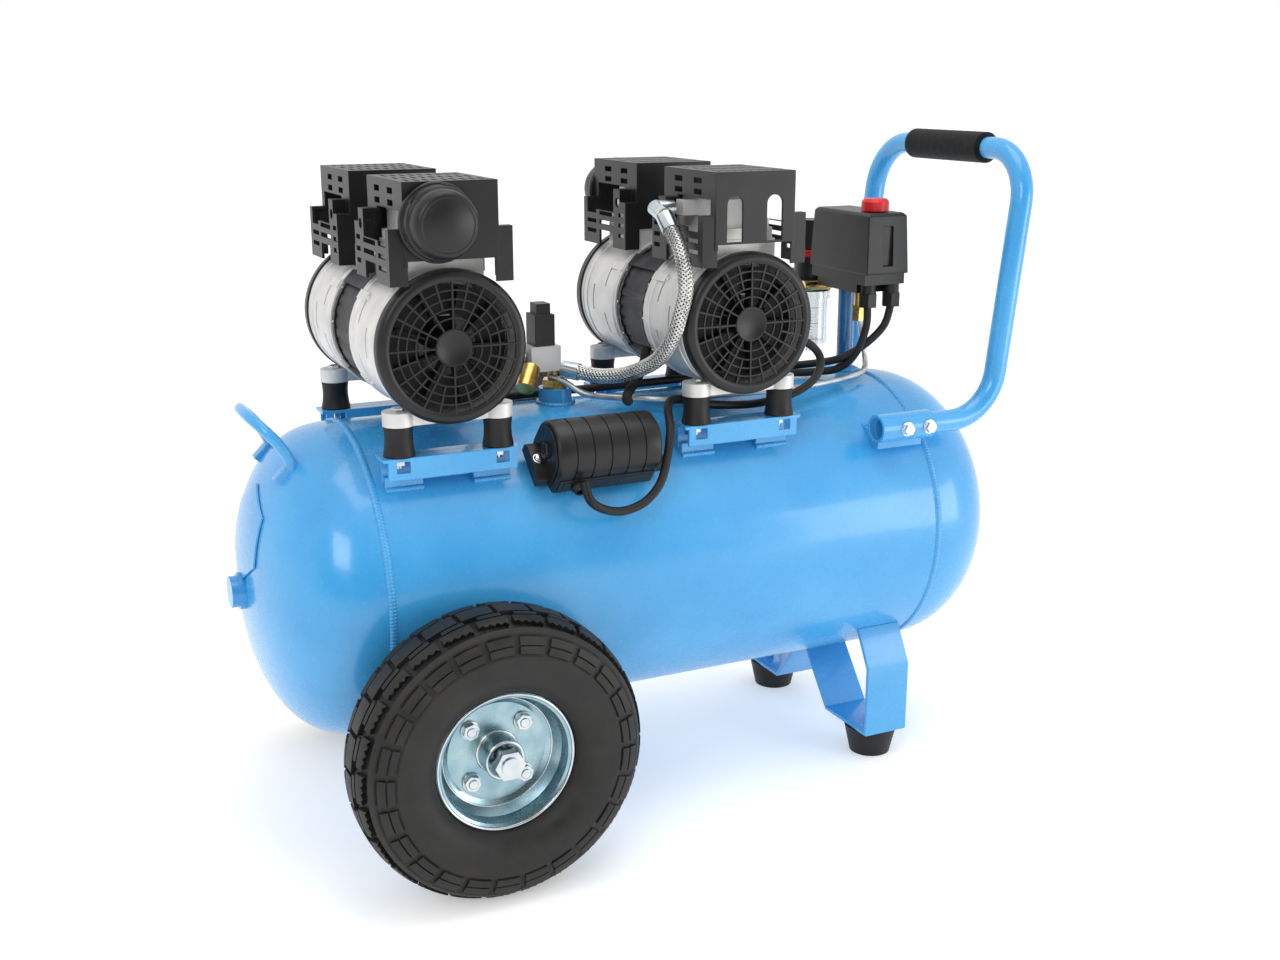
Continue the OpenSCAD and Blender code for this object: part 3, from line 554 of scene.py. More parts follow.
def makeTyre(side, label):
    place = wheelPlace(side)
    bm = bmesh.new()
    outer = []
    steps = wheel["sectionSteps"]
    for k in range(steps + 1):
        t = -wheel["sectionOn"] + (180 + 2 * wheel["sectionOn"]) * k / steps
        p = tyrePoint(0, t, -sunkBy(abs(90 - t)))
        outer.append((p.x, p.z))
    lathe(bm, outer + wheel["beadFoot"], wheel["turnSteps"], place, closed=True)
    pitch = 2 * pi / wheel["lugs"]
    gap = wheel["grooveShare"] * pitch
    zig = wheel["zigzag"]
    padFoot = -wheel["padHeight"] - wheel["lugRoot"]
    blockFoot = -wheel["treadDepth"] - wheel["lugRoot"]
    for i in range(wheel["lugs"]):
        start = i * pitch
        for mirrorSide in (0, 1):
            def across(t):
                return 180 - t if mirrorSide else t
            shift = pitch / 2 * mirrorSide
            # shoulder pads, cut by two fine circumferential grooves
            turns = [start + shift + gap / 2 + (pitch - gap) * k / 4 for k in range(5)]
            for low, high in wheel["padRows"]:
                lugPatch(bm, place, turns, lambda n, v=low: across(v), lambda n, v=high: across(v), 4,
                         padFoot)
            # crown block with a zigzag outer edge
            low, high = wheel["blockRow"]
            turns = [start + shift + gap * 0.4 + (pitch - gap * 0.8) * k / 8 for k in range(9)]
            lugPatch(bm, place, turns, lambda n: across(low + zig[n]), lambda n: across(high), 3, blockFoot)
            finLow, finHigh = wheel["finRow"]
            lugPatch(bm, place, turns[1:-1], lambda n: across(finLow), lambda n: across(finHigh), 2,
                     blockFoot)
        turns = [start + pitch / 4 + gap * 0.3 + (pitch - gap * 0.6) * k / 6 for k in range(7)]
        low, high = wheel["middleRow"]
        lugPatch(bm, place, turns, lambda n: low, lambda n: high, 4, blockFoot)
    finishPiece("tyre_" + label + "_treaded", bm, tyreRubber, "wheel_" + label, ("tyre_" + label,),
                sharp=30, bevel=0.35)


rimTrim = {
    # radius, height, width and thickness of each rolled ring, its degrees per step, and its steps round
    "lip": (1.6, 26.2, 1.55, 1.55, 30, 120), "hub": (16.4, 22.4, 1.7, 1.5, 30, 72),
    "pressed": (50.2, 4.6, 1.1, 1.0, 45, 96), "weldRadius": 18.3, "weldAt": 2.6, "weldSteps": 48,
    "holeAt": 36, "bolts": 4, "boltAt": 34, "washer": 8.6, "boltHead": 7.75, "stud": 4.6,
}


def makeRimTrim(side, label):
    place = wheelPlace(side)
    lipR = middle("rim_" + label)[1].z / 2
    inset, *lip = rimTrim["lip"]
    bm = bmesh.new()
    for flip in (1, -1):
        for r, h, wide, high, turnStep, steps in ((lipR - inset, *lip), rimTrim["hub"], rimTrim["pressed"]):
            section = [(x, flip * y) for x, y in roundSection(r, h, wide, high, turnStep)]
            lathe(bm, section, steps, place, closed=True)
        # weld bead round the hub
        count = rimTrim["weldSteps"]
        r = rimTrim["weldRadius"]
        ring = [(r * cos(2 * pi * i / count), r * sin(2 * pi * i / count), flip * rimTrim["weldAt"])
                for i in range(count + 1)]
        tube(bm, [place @ Vector(p) for p in ring], lambda i: 1.3 + 0.35 * abs(sin(pi * i / 2)), 8)
        for a in (0, 180):
            spot = place @ Matrix.Rotation(radians(a), 4, "Z") @ at(rimTrim["holeAt"], 0, flip * 1.6)
            lathe(bm, [(3.2, -0.6), (3.2, 0.5), (2.2, 0.5), (2.0, -0.6)], 24, spot, closed=True)
    finishPiece("rimEdges_" + label, bm, zincPlate, "wheel_" + label, sharp=50)

    bolts = bmesh.new()
    washer, head, stud = rimTrim["washer"], rimTrim["boltHead"], rimTrim["stud"]
    count = rimTrim["bolts"]
    for flip in (1, -1):
        for i in range(count):
            turned = place @ Matrix.Rotation(pi / count + 2 * pi / count * i, 4, "Z")
            spot = turned @ at(rimTrim["boltAt"], 0, 0)
            # hex head on a washer over each carried-over bolt
            low, high = flip * 2.2, flip * 3.6
            lathe(bolts, [(0, low), (washer, low), (washer, high), (0, high)], 32, spot)
            prism(bolts, ngon(head, 6), min(flip * 3.4, flip * 8.2), max(flip * 3.4, flip * 8.2), spot)
            low, high = flip * 8, flip * 9.4
            lathe(bolts, [(0, low), (stud, low), (stud - 0.5, high), (0, high)], 24, spot)
    finishPiece("rimBolts_" + label, bolts, zincPlate, "wheel_" + label, bevel=0.5)


for side, label in ((-1, "near"), (1, "far")):
    makeTyre(side, label)
    makeRimTrim(side, label)
    # rims take the darker zinc, partly blue passivation and partly painted shade
    dress("rim_" + label, rimPlateTintAndPaintedShade)
print("wheels made")


handle = {
    "tubeRadius": 11.0, "bend": 52, "bendSteps": 20, "sides": 40, "wall": 1.5, "leanIn": 30,
    "gripWave": 0.12, "gripRound": 4.0, "gripSteps": 40, "gripClear": 0.05,
}
tubeMid, tubeSize = middle("handle_tube")
gripMid, gripSize = middle("foam_grip")
tubeR = handle["tubeRadius"]
handleTopX, handleTopZ = gripMid.x, gripMid.z
handleY = tubeSize.y / 2 - tubeR
socketMid = middle("handle_sockets")[0]
handleZ = tubeMid.z - tubeSize.z / 2 + tubeR
handleStartX = tubeMid.x - tubeSize.x / 2


def makeHandle():
    lowX = handleTopX - handle["leanIn"]
    leg = [(handleStartX, handleZ), (lowX, handleZ), (handleTopX, handleTopZ)]
    corners = [(x, -handleY, z) for x, z in leg] + [(x, handleY, z) for x, z in leg[::-1]]
    line = bentLine(corners, handle["bend"], handle["bendSteps"])
    sides = handle["sides"]
    bm = bmesh.new()
    skins = []
    for r in (tubeR, tubeR - handle["wall"]):
        rings = [ringAt(bm, point, u, w, r, sides) for point, _, u, w in carryFrame(line)]
        loft(bm, rings, capped=False)
        skins.append(rings)
    for end in (0, -1):
        for k in range(sides):
            m = (k + 1) % sides
            bm.faces.new((skins[0][end][k], skins[0][end][m], skins[1][end][m], skins[1][end][k]))
    finishPiece("handleTube", bm, blueCoat, "frame", ("handle_tube",))

    bm = bmesh.new()
    half, r = gripSize.y / 2, gripSize.x / 2
    inner = tubeR + handle["gripClear"]
    steps = handle["gripSteps"]
    soft = handle["gripRound"]
    profile = [(inner, -half)]
    for i in range(steps + 1):
        y = -half + 2 * half * i / steps
        rounding = max(0.0, soft - (half - abs(y)))
        drop = soft - sqrt(max(0.0, soft ** 2 - rounding ** 2))
        profile.append((r - 0.4 - drop + handle["gripWave"] * sin(i * 1.7) * 0.5, y))
    profile.append((inner, half))
    lathe(bm, profile, 64, at(handleTopX, 0, handleTopZ) @ alongY, closed=True)
    grip = finishPiece("foamGrip", bm, gripFoam, "frame", ("foam_grip",), sharp=50)


makeHandle()
print("handle made")


routes = {
    "hoseRight": [(3, -92, 556), (3, -112, 538), (0, -128, 510), (-6, -129, 485), (-9, -117, 459),
                  (-14, -96, 438), (-28, -68, 423), (-44, -42, 417), (-58, -20, 418)],
    "hoseLeft": [(-151, 66, 552), (-148, 62, 520), (-144, 54, 480), (-136, 38, 450), (-124, 16, 434),
                 (-114, 6, 431)],
    "leadNear": [(-108, -146, 346), (-105, -152, 330), (-90, -153, 320), (-70, -152, 317), (-48, -150, 324),
                 (-30, -144, 342), (-14, -126, 376), (-4, -102, 396), (16, -84, 397), (50, -80, 388),
                 (100, -80, 384), (138, -86, 391), (162, -86, 402), (175, -80, 415), (175, -74, 428),
                 (160, -70, 440), (133, -66, 448)],
    "sleeveNear": [(-40, -92, 402), (-37, -82, 402), (-26, -64, 405), (-10, -48, 412), (4, -34, 426),
                   (12, -22, 435)],
    "leadFar": [(-108, 146, 346), (-112, 153, 330), (-130, 156, 321), (-152, 156, 324), (-168, 152, 340),
                (-173, 142, 364), (-178, 130, 384), (-192, 120, 391), (-206, 104, 391), (-214, 80, 394),
                (-217, 50, 399), (-218, 22, 403)],
    "switchLeadShort": [(258, -36, 462), (256, -38, 442), (250, -32, 416), (238, -20, 398), (220, -8, 393),
                        (180, 2, 394), (150, 8, 406), (124, 12, 438)],
    "switchLeadLong": [(285, -38, 462), (278, -38, 442), (260, -34, 424), (240, -22, 409), (222, -6, 402),
                       (190, 14, 397), (140, 24, 393), (60, 28, 391), (-20, 30, 390), (-75, 32, 390),
                       (-130, 26, 392), (-156, 18, 408), (-164, 14, 432)],
    "unloader": [(-82, -2, 413), (-70, -13, 408), (-52, -30, 397), (-4, -44, 392), (24, -55, 391),
                 (90, -60, 391), (162, -62, 391), (235, -42, 392), (262, -28, 395), (268, -20, 408),
                 (264, -20, 428), (260, -20, 446)],
}
braids = {
    "hose": {"radius": 7.1, "wide": 2.5, "thick": 0.55, "strands": 9, "turnLength": 34.0, "step": 1.2},
    "sleeve": {"radius": 4.5, "wide": 1.2, "thick": 0.4, "strands": 12, "turnLength": 16.0, "step": 0.9},
}
coreRadius = {"hose": 6.1, "lead": 4.0, "sleeve": 3.9, "thinTube": 3.0}


def evenLine(route, stepLength):
    fine = smoothLine(route, 60)
    line, gone = [fine[0]], 0.0
    for a, b in zip(fine, fine[1:]):
        gone += (b - a).length
        if gone >= stepLength:
            line.append(b)
            gone = 0.0
    if (fine[-1] - line[-1]).length > stepLength * 0.4:
        line.append(fine[-1])
    else:
        line[-1] = fine[-1]
    return line


def weave(bm, route, style):
    # two sets of flat strands wound opposite ways, each passing over and under the other
    frames = carryFrame(evenLine(route, style["step"]))
    strands = style["strands"]
    thick = style["thick"]
    for way in (1, -1):
        for strand in range(strands):
            rings = []
            gone = 0.0
            for i, (point, _, u, w) in enumerate(frames):
                if i:
                    gone += (point - frames[i - 1][0]).length
                turn = way * 2 * pi * gone / style["turnLength"] + 2 * pi * strand / strands
                wave = cos(strands * way * 2 * pi * gone / style["turnLength"] + (0 if way > 0 else pi))
                r = style["radius"] - thick + 0.5 * thick * wave
                out = cos(turn) * u + sin(turn) * w
                aside = -sin(turn) * u + cos(turn) * w
                ring = []
                for sideways, lift in ((-0.5, 0), (-0.25, 0.9), (0.25, 0.9), (0.5, 0), (0, -0.6)):
                    ring.append(bm.verts.new(point + (r + lift * thick) * out
                                             + sideways * style["wide"] * aside))
                rings.append(ring)
            loft(bm, rings)


def makeHoses():
    bm = bmesh.new()
    for name in ("hoseRight", "hoseLeft"):
        weave(bm, routes[name], braids["hose"])
    finishPiece("hoseBraid", bm, braidSteel, "frame", ("braided_hoses",), sharp=80, weld=False)

    bm = bmesh.new()
    for name in ("hoseRight", "hoseLeft"):
        tube(bm, smoothLine(routes[name], 6), coreRadius["hose"], 20)
    finishPiece("hoseCore", bm, softRubber, "frame")

    bm = bmesh.new()
    for name in ("leadNear", "leadFar", "switchLeadShort", "switchLeadLong"):
        tube(bm, smoothLine(routes[name], 8), coreRadius["lead"], 20)
    finishPiece("cableLeads", bm, softRubber, "frame", ("cables",))

    bm = bmesh.new()
    tube(bm, smoothLine(routes["sleeveNear"], 6), coreRadius["sleeve"], 16)
    weave(bm, routes["sleeveNear"], braids["sleeve"])
    finishPiece("braidedSleeve", bm, softRubber, "frame", sharp=80, weld=False)

    bm = bmesh.new()
    tube(bm, smoothLine(routes["unloader"], 8), coreRadius["thinTube"], 20)
    finishPiece("thinAirTube", bm, bareAluminium, "frame", ("unloader_tube",))


makeHoses()
print("hoses and leads made")


unit = {
    "guardStands": 1.8, "gridRings": [25, 33, 41, 48.5], "gridHalf": 0.75,
    "spokes": 12, "spokeHalf": 0.9, "spokeFrom": (15, 33), "spokeTo": 57,
    # place along the shaft, half width and height of each rib
    "ribs": [(40.5, 3.2, 1.4), (101, 0.9, 0.8), (111, 0.9, 0.8)], "bossTurns": (35, 145, 215, 325),
    "bandTeeth": 36, "filterAt": (-13, 576), "filterHigh": 33, "mountRadius": 14.0, "mountWaist": 11.9,
}
guardSize = middle("fan_guards")[1]
motorX = (middle("castings_left")[0].x, middle("castings_right")[0].x)
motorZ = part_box("fan_guards")[0].z / mm + guardSize.z / 2
guardFace = guardSize.y / 2
guardR = guardSize.z / 2
motorR = guardR - unit["guardStands"]


def everyMotorEnd():
    for x in motorX:
        for way in (-1, 1):
            yield at(x, 0, motorZ) @ facingSide(way)


def makeGuards():
    bm = bmesh.new()
    face = guardFace
    ring = [(55.6, face - 3.4), (55.6, face - 1.2), (56.8, face - 0.3), (59.6, face), (62.4, face - 0.5),
            (64.8, face - 2.2), (guardR, face - 4.8), (guardR, face - 12.8), (64.2, face - 13),
            (64.2, face - 6.5), (60, face - 3.8)]
    hub = [(0, face - 4), (15.4, face - 4), (16.3, face - 3), (16.3, face - 0.8), (15.6, face), (13.8, face),
           (13.0, face - 0.5), (0, face - 0.3)]
    for place in everyMotorEnd():
        lathe(bm, ring, 120, place, closed=True)
        lathe(bm, hub, 64, place)
        for r in unit["gridRings"]:
            inner, outer = r - unit["gridHalf"], r + unit["gridHalf"]
            lathe(bm, [(inner, face - 3), (outer, face - 3), (outer, face - 1), (inner, face - 1)], 96, place,
                  closed=True)
        count = unit["spokes"]
        half = unit["spokeHalf"]
        for i in range(count * 2):
            # every second spoke is short
            slab(bm, (unit["spokeFrom"][i % 2], -half, face - 3.2), (unit["spokeTo"], half, face - 0.7),
                 place @ Matrix.Rotation(pi * i / count, 4, "Z"))
    finishPiece("fanGrilles", bm, blackNylon, "frame", ("fan_guards",), bevel=0.25,
                weld=False)


def makeShellTrim():
    bm = bmesh.new()
    for place in everyMotorEnd():
        for y, wide, high in unit["ribs"]:
            rib = [(motorR - 1, y - wide - high), (motorR + high, y - wide), (motorR + high, y + wide),
                   (motorR - 1, y + wide + high)]
            lathe(bm, rib, 144, place, closed=True)
        for turn in unit["bossTurns"]:
            boss = place @ Matrix.Rotation(radians(turn), 4, "Z") @ at(motorR - 1.5, 0, 0)
            slab(bm, (-2, -4.5, 34), (3.2, 4.5, 60), boss)
            # long screw that clamps both halves to the stack
            screw = [(0, 60.5), (2.6, 60.5), (3.0, 61.0), (3.0, 63.2), (2.2, 64), (0, 64)]
            lathe(bm, screw, 24, boss @ at(0.4, 0, 0))
    finishPiece("shellRibs", bm, castAluminium, "frame", bevel=0.5)

    bands, pins = bmesh.new(), bmesh.new()
    for place in everyMotorEnd():
        # insulating end ring of the windings, with a slot between its teeth and a row of bright pins
        lathe(bands, [(60.2, 25.5), (62.4, 25.5), (62.4, 31.6), (60.2, 31.6)], 120, place, closed=True)
        for i in range(unit["bandTeeth"]):
            turned = place @ Matrix.Rotation(2 * pi * i / unit["bandTeeth"], 4, "Z")
            slab(bands, (61, -1.7, 22.5), (63.2, 1.7, 27.5), turned)
            if i % 3 == 0:
                lathe(pins, [(0, 0), (1.1, 0), (0.9, 0.6), (0, 0.8)], 16, turned @ at(62.4, 4.2, 29) @ alongX)
    finishPiece("statorBands", bands, blackNylon, "frame", bevel=0.3, weld=False)
    finishPiece("statorPins", pins, zincPlate, "frame")


def makeFilters():
    bm = bmesh.new()
    x, z = unit["filterAt"]
    can = [(0, 0), (31.5, 0), (33, 1.2), (33, 5.4), (32.2, 6.6), (30.6, 7), (30.0, 8.4), (30.6, 10),
           (30.6, 15.5), (29.8, 17), (28.6, 17.6), (28.4, 19.2), (27.9, 25.5), (26.6, 29.6), (24.6, 31.6),
           (22.4, 32.2),
           (21.6, 31.8), (21.0, 32.2), (0, 33.0)]
    y0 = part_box("intake_filters")[1].y / mm - unit["filterHigh"]
    for motor, way in ((0, -1), (1, 1)):
        place = at(motorX[motor] + x, way * y0, z) @ facingSide(way)
        lathe(bm, can, 96, place)
        for turn in range(0, 360, 60):
            slab(bm, (29.6, -3.2, 8.0), (31.6, 3.2, 15), place @ Matrix.Rotation(radians(turn + 20), 4, "Z"))
    finishPiece("intakeFilterCans", bm, blackNylon, "frame", ("intake_filters",), bevel=0.3)


def makeMounts():
    bm = bmesh.new()
    low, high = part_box("rubber_mounts")
    z0, z1 = low.z / mm, high.z / mm
    outer = unit["mountRadius"]
    footX = (high.x - low.x) / mm / 2 - outer - (motorX[1] - motorX[0]) / 2
    footY = high.y / mm - outer
    waist = unit["mountWaist"]
    for x in motorX:
        for sx in (-footX, footX):
            for sy in (-footY, footY):
                profile = [(0, z0), (outer - 0.6, z0), (outer, z0 + 1.2)]
                for i in range(13):
                    t = i / 12
                    swell = waist + 1.9 * (1 - t) ** 3 + 1.1 * t ** 4
                    profile.append((swell, z0 + 1.8 + (z1 - z0 - 3.0) * t))
                profile += [(12.6, z1), (0, z1)]
                lathe(bm, profile, 48, at(x + sx, sy, 0))
    finishPiece("rubberMountBlocks", bm, softRubber, "frame", ("rubber_mounts",))


makeGuards()
makeShellTrim()
makeFilters()
makeMounts()
print("pump units made")


capacitor = {
    "at": (-132, -104, 353), "lean": 43, "radius": 29.0, "wallHigh": 22.0, "long": 100.0, "grooves": 5,
    "capShare": 0.86, "bossAt": 26, "screwAt": (6.5, 14), "leadAt": (24, -28.5, 10),
}


def capOutline(inset=0.0, sides=36):
    r = capacitor["radius"] - inset
    high = capacitor["wallHigh"]
    arc = [(r * cos(pi * i / sides), high + r * sin(pi * i / sides)) for i in range(sides + 1)]
    return [(-r, inset * 0.5), (r, inset * 0.5)] + arc


def makeCapacitors():
    lids = bmesh.new()
    trims = bmesh.new()
    screws = bmesh.new()
    long = capacitor["long"]
    pitch = long / (capacitor["grooves"] + 1)
    share = capacitor["capShare"]
    screwOut, screwUp = capacitor["screwAt"]
    for way in (1, -1):
        flip = Matrix.Scale(way, 4, (0, 1, 0))
        place = flip @ at(*capacitor["at"]) @ Matrix.Rotation(radians(capacitor["lean"]), 4, "X")
        # outline lies in local YZ and runs along local X
        along = place @ Matrix(((0, 0, 1, 0), (1, 0, 0, 0), (0, 1, 0, 0), (0, 0, 0, 1)))
        stations = [(0, 2.4), (1.0, 0.9), (2.6, 0.2), (3.4, 0.0)]
        for i in range(1, capacitor["grooves"] + 1):
            x = i * pitch
            stations += [(x - 1.0, 0.0), (x - 0.6, 0.9), (x + 0.6, 0.9), (x + 1.0, 0.0)]
        stations += [(long - 3.4, 0.0), (long - 2.6, 0.2), (long - 1.0, 0.9), (long, 2.4)]
        rings = []
        for x, inset in stations:
            rings.append([lids.verts.new(along @ Vector((u, v, x))) for u, v in capOutline(inset)])
        loft(lids, rings)
        for end, out in ((0, -1), (long, 1)):
            # raised end cap, its screw boss and the mounting lug
            cap = [(p * share, 3 + q * share) for p, q in capOutline(0, 24)]
            prism(trims, cap, min(end, end + out * 1.6), max(end, end + out * 1.6), along)
            lathe(trims, [(0, 0), (7.6, 0), (7.6, 4.2), (6.6, 5.2), (3.4, 5.2), (3.0, 3.6), (0, 3.6)], 36,
                  place @ at(end, 0, capacitor["bossAt"]) @ Matrix.Rotation(out * pi / 2, 4, "Y"))
            lug = [(-20, 0), (20, 0), (20, 9), (13, 14), (-13, 14), (-20, 9)]
            prism(trims, lug, min(end, end + out * 13), max(end, end + out * 13), along)
            spot = place @ at(end + out * screwOut, 0, screwUp)
            lathe(screws, [(0, 0), (5.2, 0), (5.2, 0.8), (4.4, 0.9), (4.0, 2.6), (2.6, 3.4), (0, 3.4)], 28,
                  spot)
        # moulded border along the flat front, and the grommet of the lead
        for side in (-1, 1):
            slab(trims, (4, side * 29.3 - 0.9, 3), (long - 4, side * 29.3 + 0.9, 19), place)
            slab(trims, (8, side * 29.6 - 1.1, 6), (long - 8, side * 29.6 + 1.1, 16), place)
        lathe(trims, [(4.2, 0), (7.4, 0), (7.8, 1.2), (7.8, 4.6), (6.4, 6.0), (5.6, 9.0), (4.2, 9.0)], 32,
              place @ at(*capacitor["leadAt"]) @ Matrix.Rotation(pi / 2, 4, "X"), closed=True)
    finishPiece("capacitorLids", lids, blackNylon, "frame", ("capacitor_boxes",), sharp=30)
    finishPiece("capacitorTrim", trims, blackNylon, "frame", bevel=0.5)
    finishPiece("capacitorScrews", screws, zincPlate, "frame", bevel=0.2)


makeCapacitors()
print("capacitor boxes made")


liftEye = {
    "route": [(-340, -42, 352), (-343, -43, 368), (-352, -42, 384), (-362, -36, 396), (-369, -22, 403),
              (-371, 0, 405), (-369, 22, 403), (-362, 36, 396), (-352, 42, 384), (-343, 43, 368),
              (-340, 42, 352)],
    "thick": 10.0, "deep": 12.5, "square": 0.75, "sides": 24, "lean": -45, "footAt": (-346, 42, 358),
    "footLow": (-12, -6, -8), "footHigh": (12, 6, 5.5),
}


def makeLiftEye():
    bm = bmesh.new()
    outward = Matrix.Rotation(radians(liftEye["lean"]), 4, "Y")
    square, sides = liftEye["square"], liftEye["sides"]

    def squared(v, size):
        return 0.5 * size * abs(v) ** square * (1 if v > 0 else -1)
    rings = []
    for point, tangent, _, _ in carryFrame(smoothLine(liftEye["route"], 6)):
        flat = outward.to_3x3() @ Vector((1, 0, 0))
        across = tangent.cross(flat).normalized()
        flat = across.cross(tangent).normalized()
        turns = [2 * pi * k / sides for k in range(sides)]
        rings.append([bm.verts.new(point + squared(cos(a), liftEye["thick"]) * flat
                                   + squared(sin(a), liftEye["deep"]) * across) for a in turns])
    loft(bm, rings)
    x, y, z = liftEye["footAt"]
    for side in (-1, 1):
        # each leg ends in a short welded block
        slab(bm, liftEye["footLow"], liftEye["footHigh"], at(x, side * y, z) @ outward)
    finishPiece("liftEyeLoop", bm, blueCoat, "frame", ("tow_eye",), bevel=1.2)


makeLiftEye()
print("lift eye made")


welds = {
    "tabY": 101, "tabOut": 40, "tabHalf": 17, "tabBead": 2.8, "bead": 2.6,
    "gussetUnder": 4, "gussetFrom": 25, "gussetTo": 27,
    # x, y and radius of each round boss on top of the tank
    "bosses": [(-75, 0, 17), (268, 18, 14)], "bossSteps": 16,
}


def makeWelds():
    bm = bmesh.new()
    half = welds["tabHalf"]
    z = topOfTank(welds["tabY"]) + 0.5
    for x in motorX:
        for way in (-1, 1):
            for end in (-1, 1):
                # fillet along the foot of each rail tab
                y = way * welds["tabY"]
                tabX = x + end * welds["tabOut"]
                bead(bm, [(tabX - half, y, z), (tabX, y, z), (tabX + half, y, z)], welds["tabBead"])
    for way in (-1, 1):
        # where the top face of the socket's gusset meets the tank
        z = handleZ - welds["gussetUnder"]
        y = way * sqrt(tankR ** 2 - (z - tankZ) ** 2)
        ends = (socketMid.x - welds["gussetFrom"], socketMid.x + welds["gussetTo"])
        bead(bm, [(ends[0], y, z), (socketMid.x, y, z), (ends[1], y, z)], welds["bead"])
    steps = welds["bossSteps"]
    for x, y, r in welds["bosses"]:
        ring = []
        for i in range(steps + 1):
            a = 2 * pi * i / steps
            px, py = x + r * cos(a), y + r * sin(a)
            ring.append((px, py, topOfTank(py) + 0.4))
        bead(bm, ring, welds["bead"])
    finishPiece("fittingWelds", bm, blueCoat, "frame", sharp=70)


makeWelds()
print("welds made")


bowlMarks = {
    "count": 11, "pitch": 3.4, "fromFoot": 15.0, "high": 0.5, "radius": 18.15,
    # degrees: where each arc starts, and how far a long and a short one reach
    "startAt": -150, "longArc": 60, "shortArc": 36, "arcSteps": 8,
}


def makeBowlMarks():
    bm = bmesh.new()
    bowlMid, bowlSize = middle("filter_bowl")
    foot = bowlMid.z - bowlSize.z / 2 + bowlMarks["fromFoot"]
    r = bowlMarks["radius"]
    for i in range(bowlMarks["count"]):
        z = foot + i * bowlMarks["pitch"]
        reach = bowlMarks["longArc" if i % 5 == 0 else "shortArc"]
        # printed level line, a short arc on the side that faces the operator
        steps = bowlMarks["arcSteps"]
        for k in range(steps):
            turn = radians(bowlMarks["startAt"] + reach * k / steps)
            after = turn + radians(reach / steps)
            top = z + bowlMarks["high"]
            corners = [(r * cos(a), r * sin(a), h) for a, h in
                       ((turn, z), (after, z), (after, top), (turn, top))]
            outer = [bm.verts.new((bowlMid.x + x, bowlMid.y + y, h)) for x, y, h in corners]
            inner = [bm.verts.new((bowlMid.x + 0.99 * x, bowlMid.y + 0.99 * y, h)) for x, y, h in corners]
            bm.faces.new(outer)
            bm.faces.new(inner[::-1])
            for n in range(4):
                bm.faces.new((outer[n], inner[n], inner[(n + 1) % 4], outer[(n + 1) % 4]))
    finishPiece("bowlLevelMarks", bm, redPlastic, "frame", weld=False)


makeBowlMarks()
print("bowl marks made")


gaugeFace = {
    "behindRim": 16.9, "radius": 18.6, "hole": 2.2, "thick": 0.3,
    "ticks": 28, "firstAt": 45, "tickStep": 10, "longFrom": 12.5, "shortFrom": 14.8, "tickTo": 17.2,
}


def makeGaugeFace():
    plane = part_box("gauge")[1].x / mm - gaugeFace["behindRim"]
    gaugeMid = middle("gauge")[0]
    place = at(plane, gaugeMid.y, gaugeMid.z) @ alongX
    r = gaugeFace["radius"]
    bm = bmesh.new()
    hole, thick = gaugeFace["hole"], gaugeFace["thick"]
    lathe(bm, [(hole, 0), (r, 0), (r, thick), (hole, thick)], 72, place, closed=True)
    finishPiece("gaugeDial", bm, dialEnamel, "frame")
    bm = bmesh.new()
    for i in range(gaugeFace["ticks"]):
        turn = radians(gaugeFace["firstAt"] + i * gaugeFace["tickStep"])
        inner = gaugeFace["longFrom" if i % 3 == 0 else "shortFrom"]
        slab(bm, (inner, -0.25, 0.2), (gaugeFace["tickTo"], 0.25, 0.45),
             place @ Matrix.Rotation(turn, 4, "Z"))
    finishPiece("gaugeTicks", bm, blackNylon, "frame", weld=False)


makeGaugeFace()
print("gauge face made")


# material, edge rounding in millimetres, and the nodes that get them
carriedOver = [
    (blueCoat, 0.8, "tank_fittings"),
    (blueCoat, 0.4, "data_plate"),
    (blueCoat, 0.5, "axle_bracket motor_rails"),
    (zincPlate, 0.6, "axle"),
    (blueCoat, 0.9, "leg_brackets"),
    (softRubber, 1.2, "rubber_feet"),
    (zincPlate, 0.5, "frame_bolts coupler_sleeve"),
    (zincPlate, 0.4, "mount_nuts hose_fittings"),
    (blueCoat, 0.6, "handle_sockets"),
    (castAluminium, 0.6, "castings_left castings_right"),
    (statorSteel, 0.5, "stators"),
    # rotors take the near-black steel, painted shade for the motor's dark inside
    (rotorSteelPaintedShade, 0.0, "rotor_left rotor_right"),
    (castAluminium, 0.8, "heads_left heads_right"),
    (blackNylon, 1.1, "covers_left covers_right"),
    (castAluminium, 0.0, "piston_left_near piston_left_far piston_right_near piston_right_far"),
    (castAluminium, 0.5, "manifold"),
    (blackNylon, 0.6, "solenoid regulator_body"),
    (brassBar, 0.4, "brass_fittings coupler_body drain_valve drain_handle"),
    (deepCoat, 0.0, "riser_pipe"),
    (blackNylon, 0.8, "switch_base regulator_knob"),
    (blackNylon, 1.0, "switch_cover"),
    (redPlastic, 0.6, "switch_knob"),
    (blackNylon, 0.5, "cable_glands gauge"),
    (brassBar, 0.0, "safety_ring"),
    (redPlastic, 0.5, "lock_ring"),
    (clearPlastic, 0.0, "filter_bowl"),
    (blackNylon, 0.0, "gauge_needle"),
]
for material, bevel, names in carriedOver:
    for nodeName in names.split():
        dress(nodeName, material, bevel)
print("carried-over parts dressed")


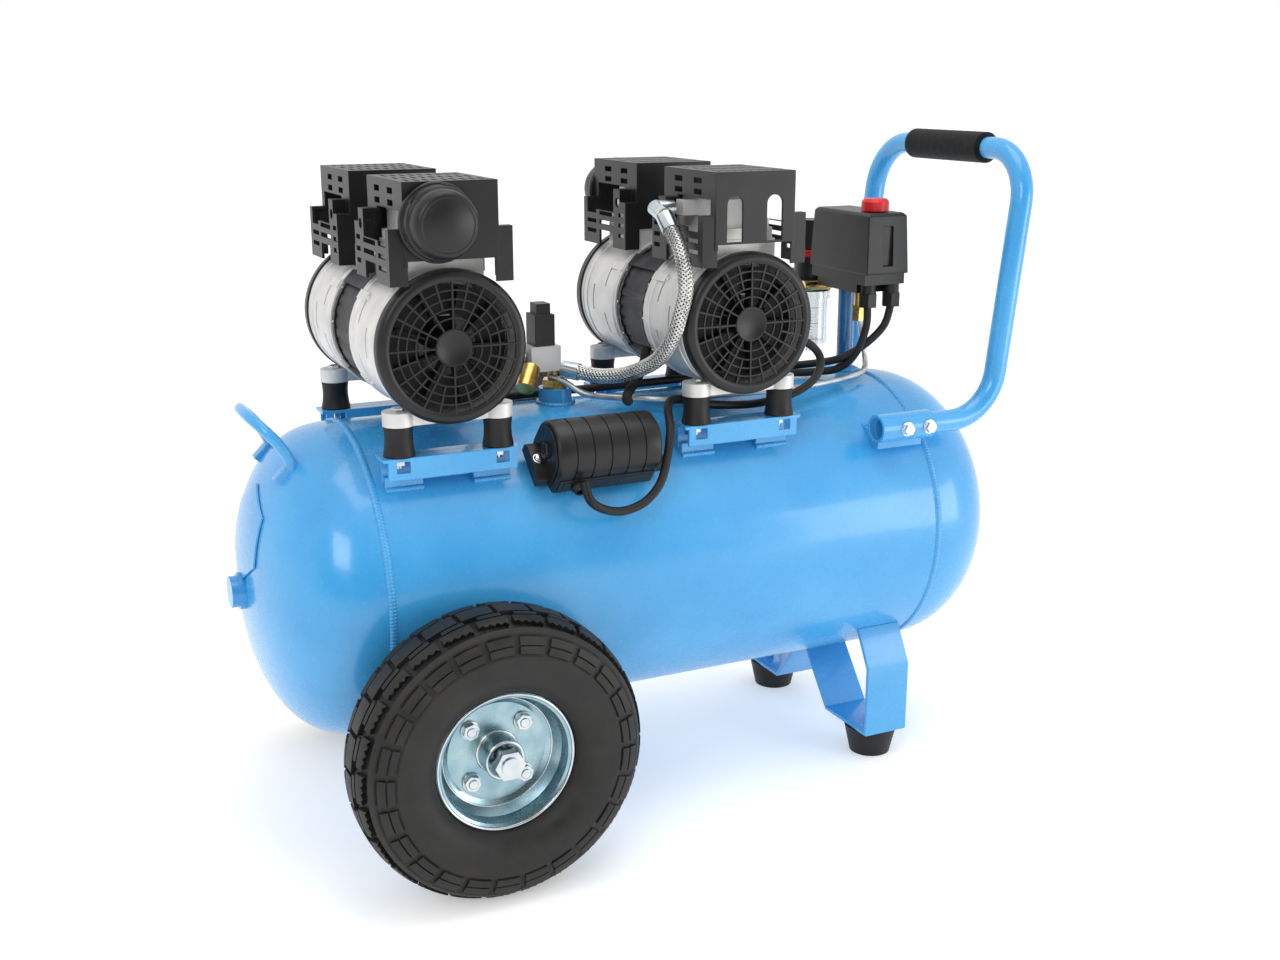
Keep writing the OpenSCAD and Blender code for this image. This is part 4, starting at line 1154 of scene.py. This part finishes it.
def makeStudio():
    cameraData = bpy.data.cameras.new("camera")
    cameraData.lens = studio["lens"]
    cameraData.sensor_width = studio["sensor"]
    camera = bpy.data.objects.new("camera", cameraData)
    camera.location = studio["cameraAt"]
    camera.rotation_euler = (pi / 2 - studio["cameraPitch"], 0, -studio["cameraYaw"])
    bpy.context.scene.collection.objects.link(camera)
    bpy.context.scene.camera = camera

    bm = bmesh.new()
    bmesh.ops.create_grid(bm, x_segments=2, y_segments=2, size=studio["floorHalf"])
    mesh = bpy.data.meshes.new("floor")
    bm.to_mesh(mesh)
    bm.free()
    mesh.materials.append(paintedFloor("paleFloor", studio["floor"]))
    floor = bpy.data.objects.new("floor", mesh)
    bpy.context.scene.collection.objects.link(floor)

    for name, place, size, watts in studio["softboxes"]:
        light = bpy.data.lights.new(name, "AREA")
        light.size = size
        light.energy = watts
        lamp = bpy.data.objects.new(name, light)
        lamp.location = place
        aim = Vector(studio["aimAt"]) - Vector(place)
        lamp.rotation_euler = aim.to_track_quat("-Z", "Y").to_euler()
        bpy.context.scene.collection.objects.link(lamp)

    world = bpy.data.worlds.new("paleStudio")
    world.use_nodes = True
    tree = world.node_tree
    tree.nodes.clear()
    ray = addNode(tree, "TexCoord").outputs["Generated"]
    facing = addNode(tree, "VectorMath", {0: ray, 1: studio["dimSide"]}, operation="DOT_PRODUCT")
    shade = addNode(tree, "MapRange", {"Value": facing.outputs["Value"], "From Min": studio["dimFrom"],
                                       "From Max": studio["dimFull"], "To Min": 1.0,
                                       "To Max": studio["dimTo"]}, interpolation_type="SMOOTHSTEP")
    dim = addNode(tree, "Background", {"Strength": shade.outputs[0]})
    plain = addNode(tree, "Background", {"Strength": 1.0})
    for sky in (dim, plain):
        sky.inputs["Color"].default_value = (1, 1, 1, 1)
    seen = addNode(tree, "LightPath").outputs["Is Camera Ray"]
    mixed = addNode(tree, "MixShader", {0: seen, 1: dim.outputs[0], 2: plain.outputs[0]})
    addNode(tree, "OutputWorld", {"Surface": mixed.outputs[0]})
    bpy.context.scene.world = world
    bpy.context.scene.view_settings.view_transform = "Standard"


makeStudio()
print("studio made")
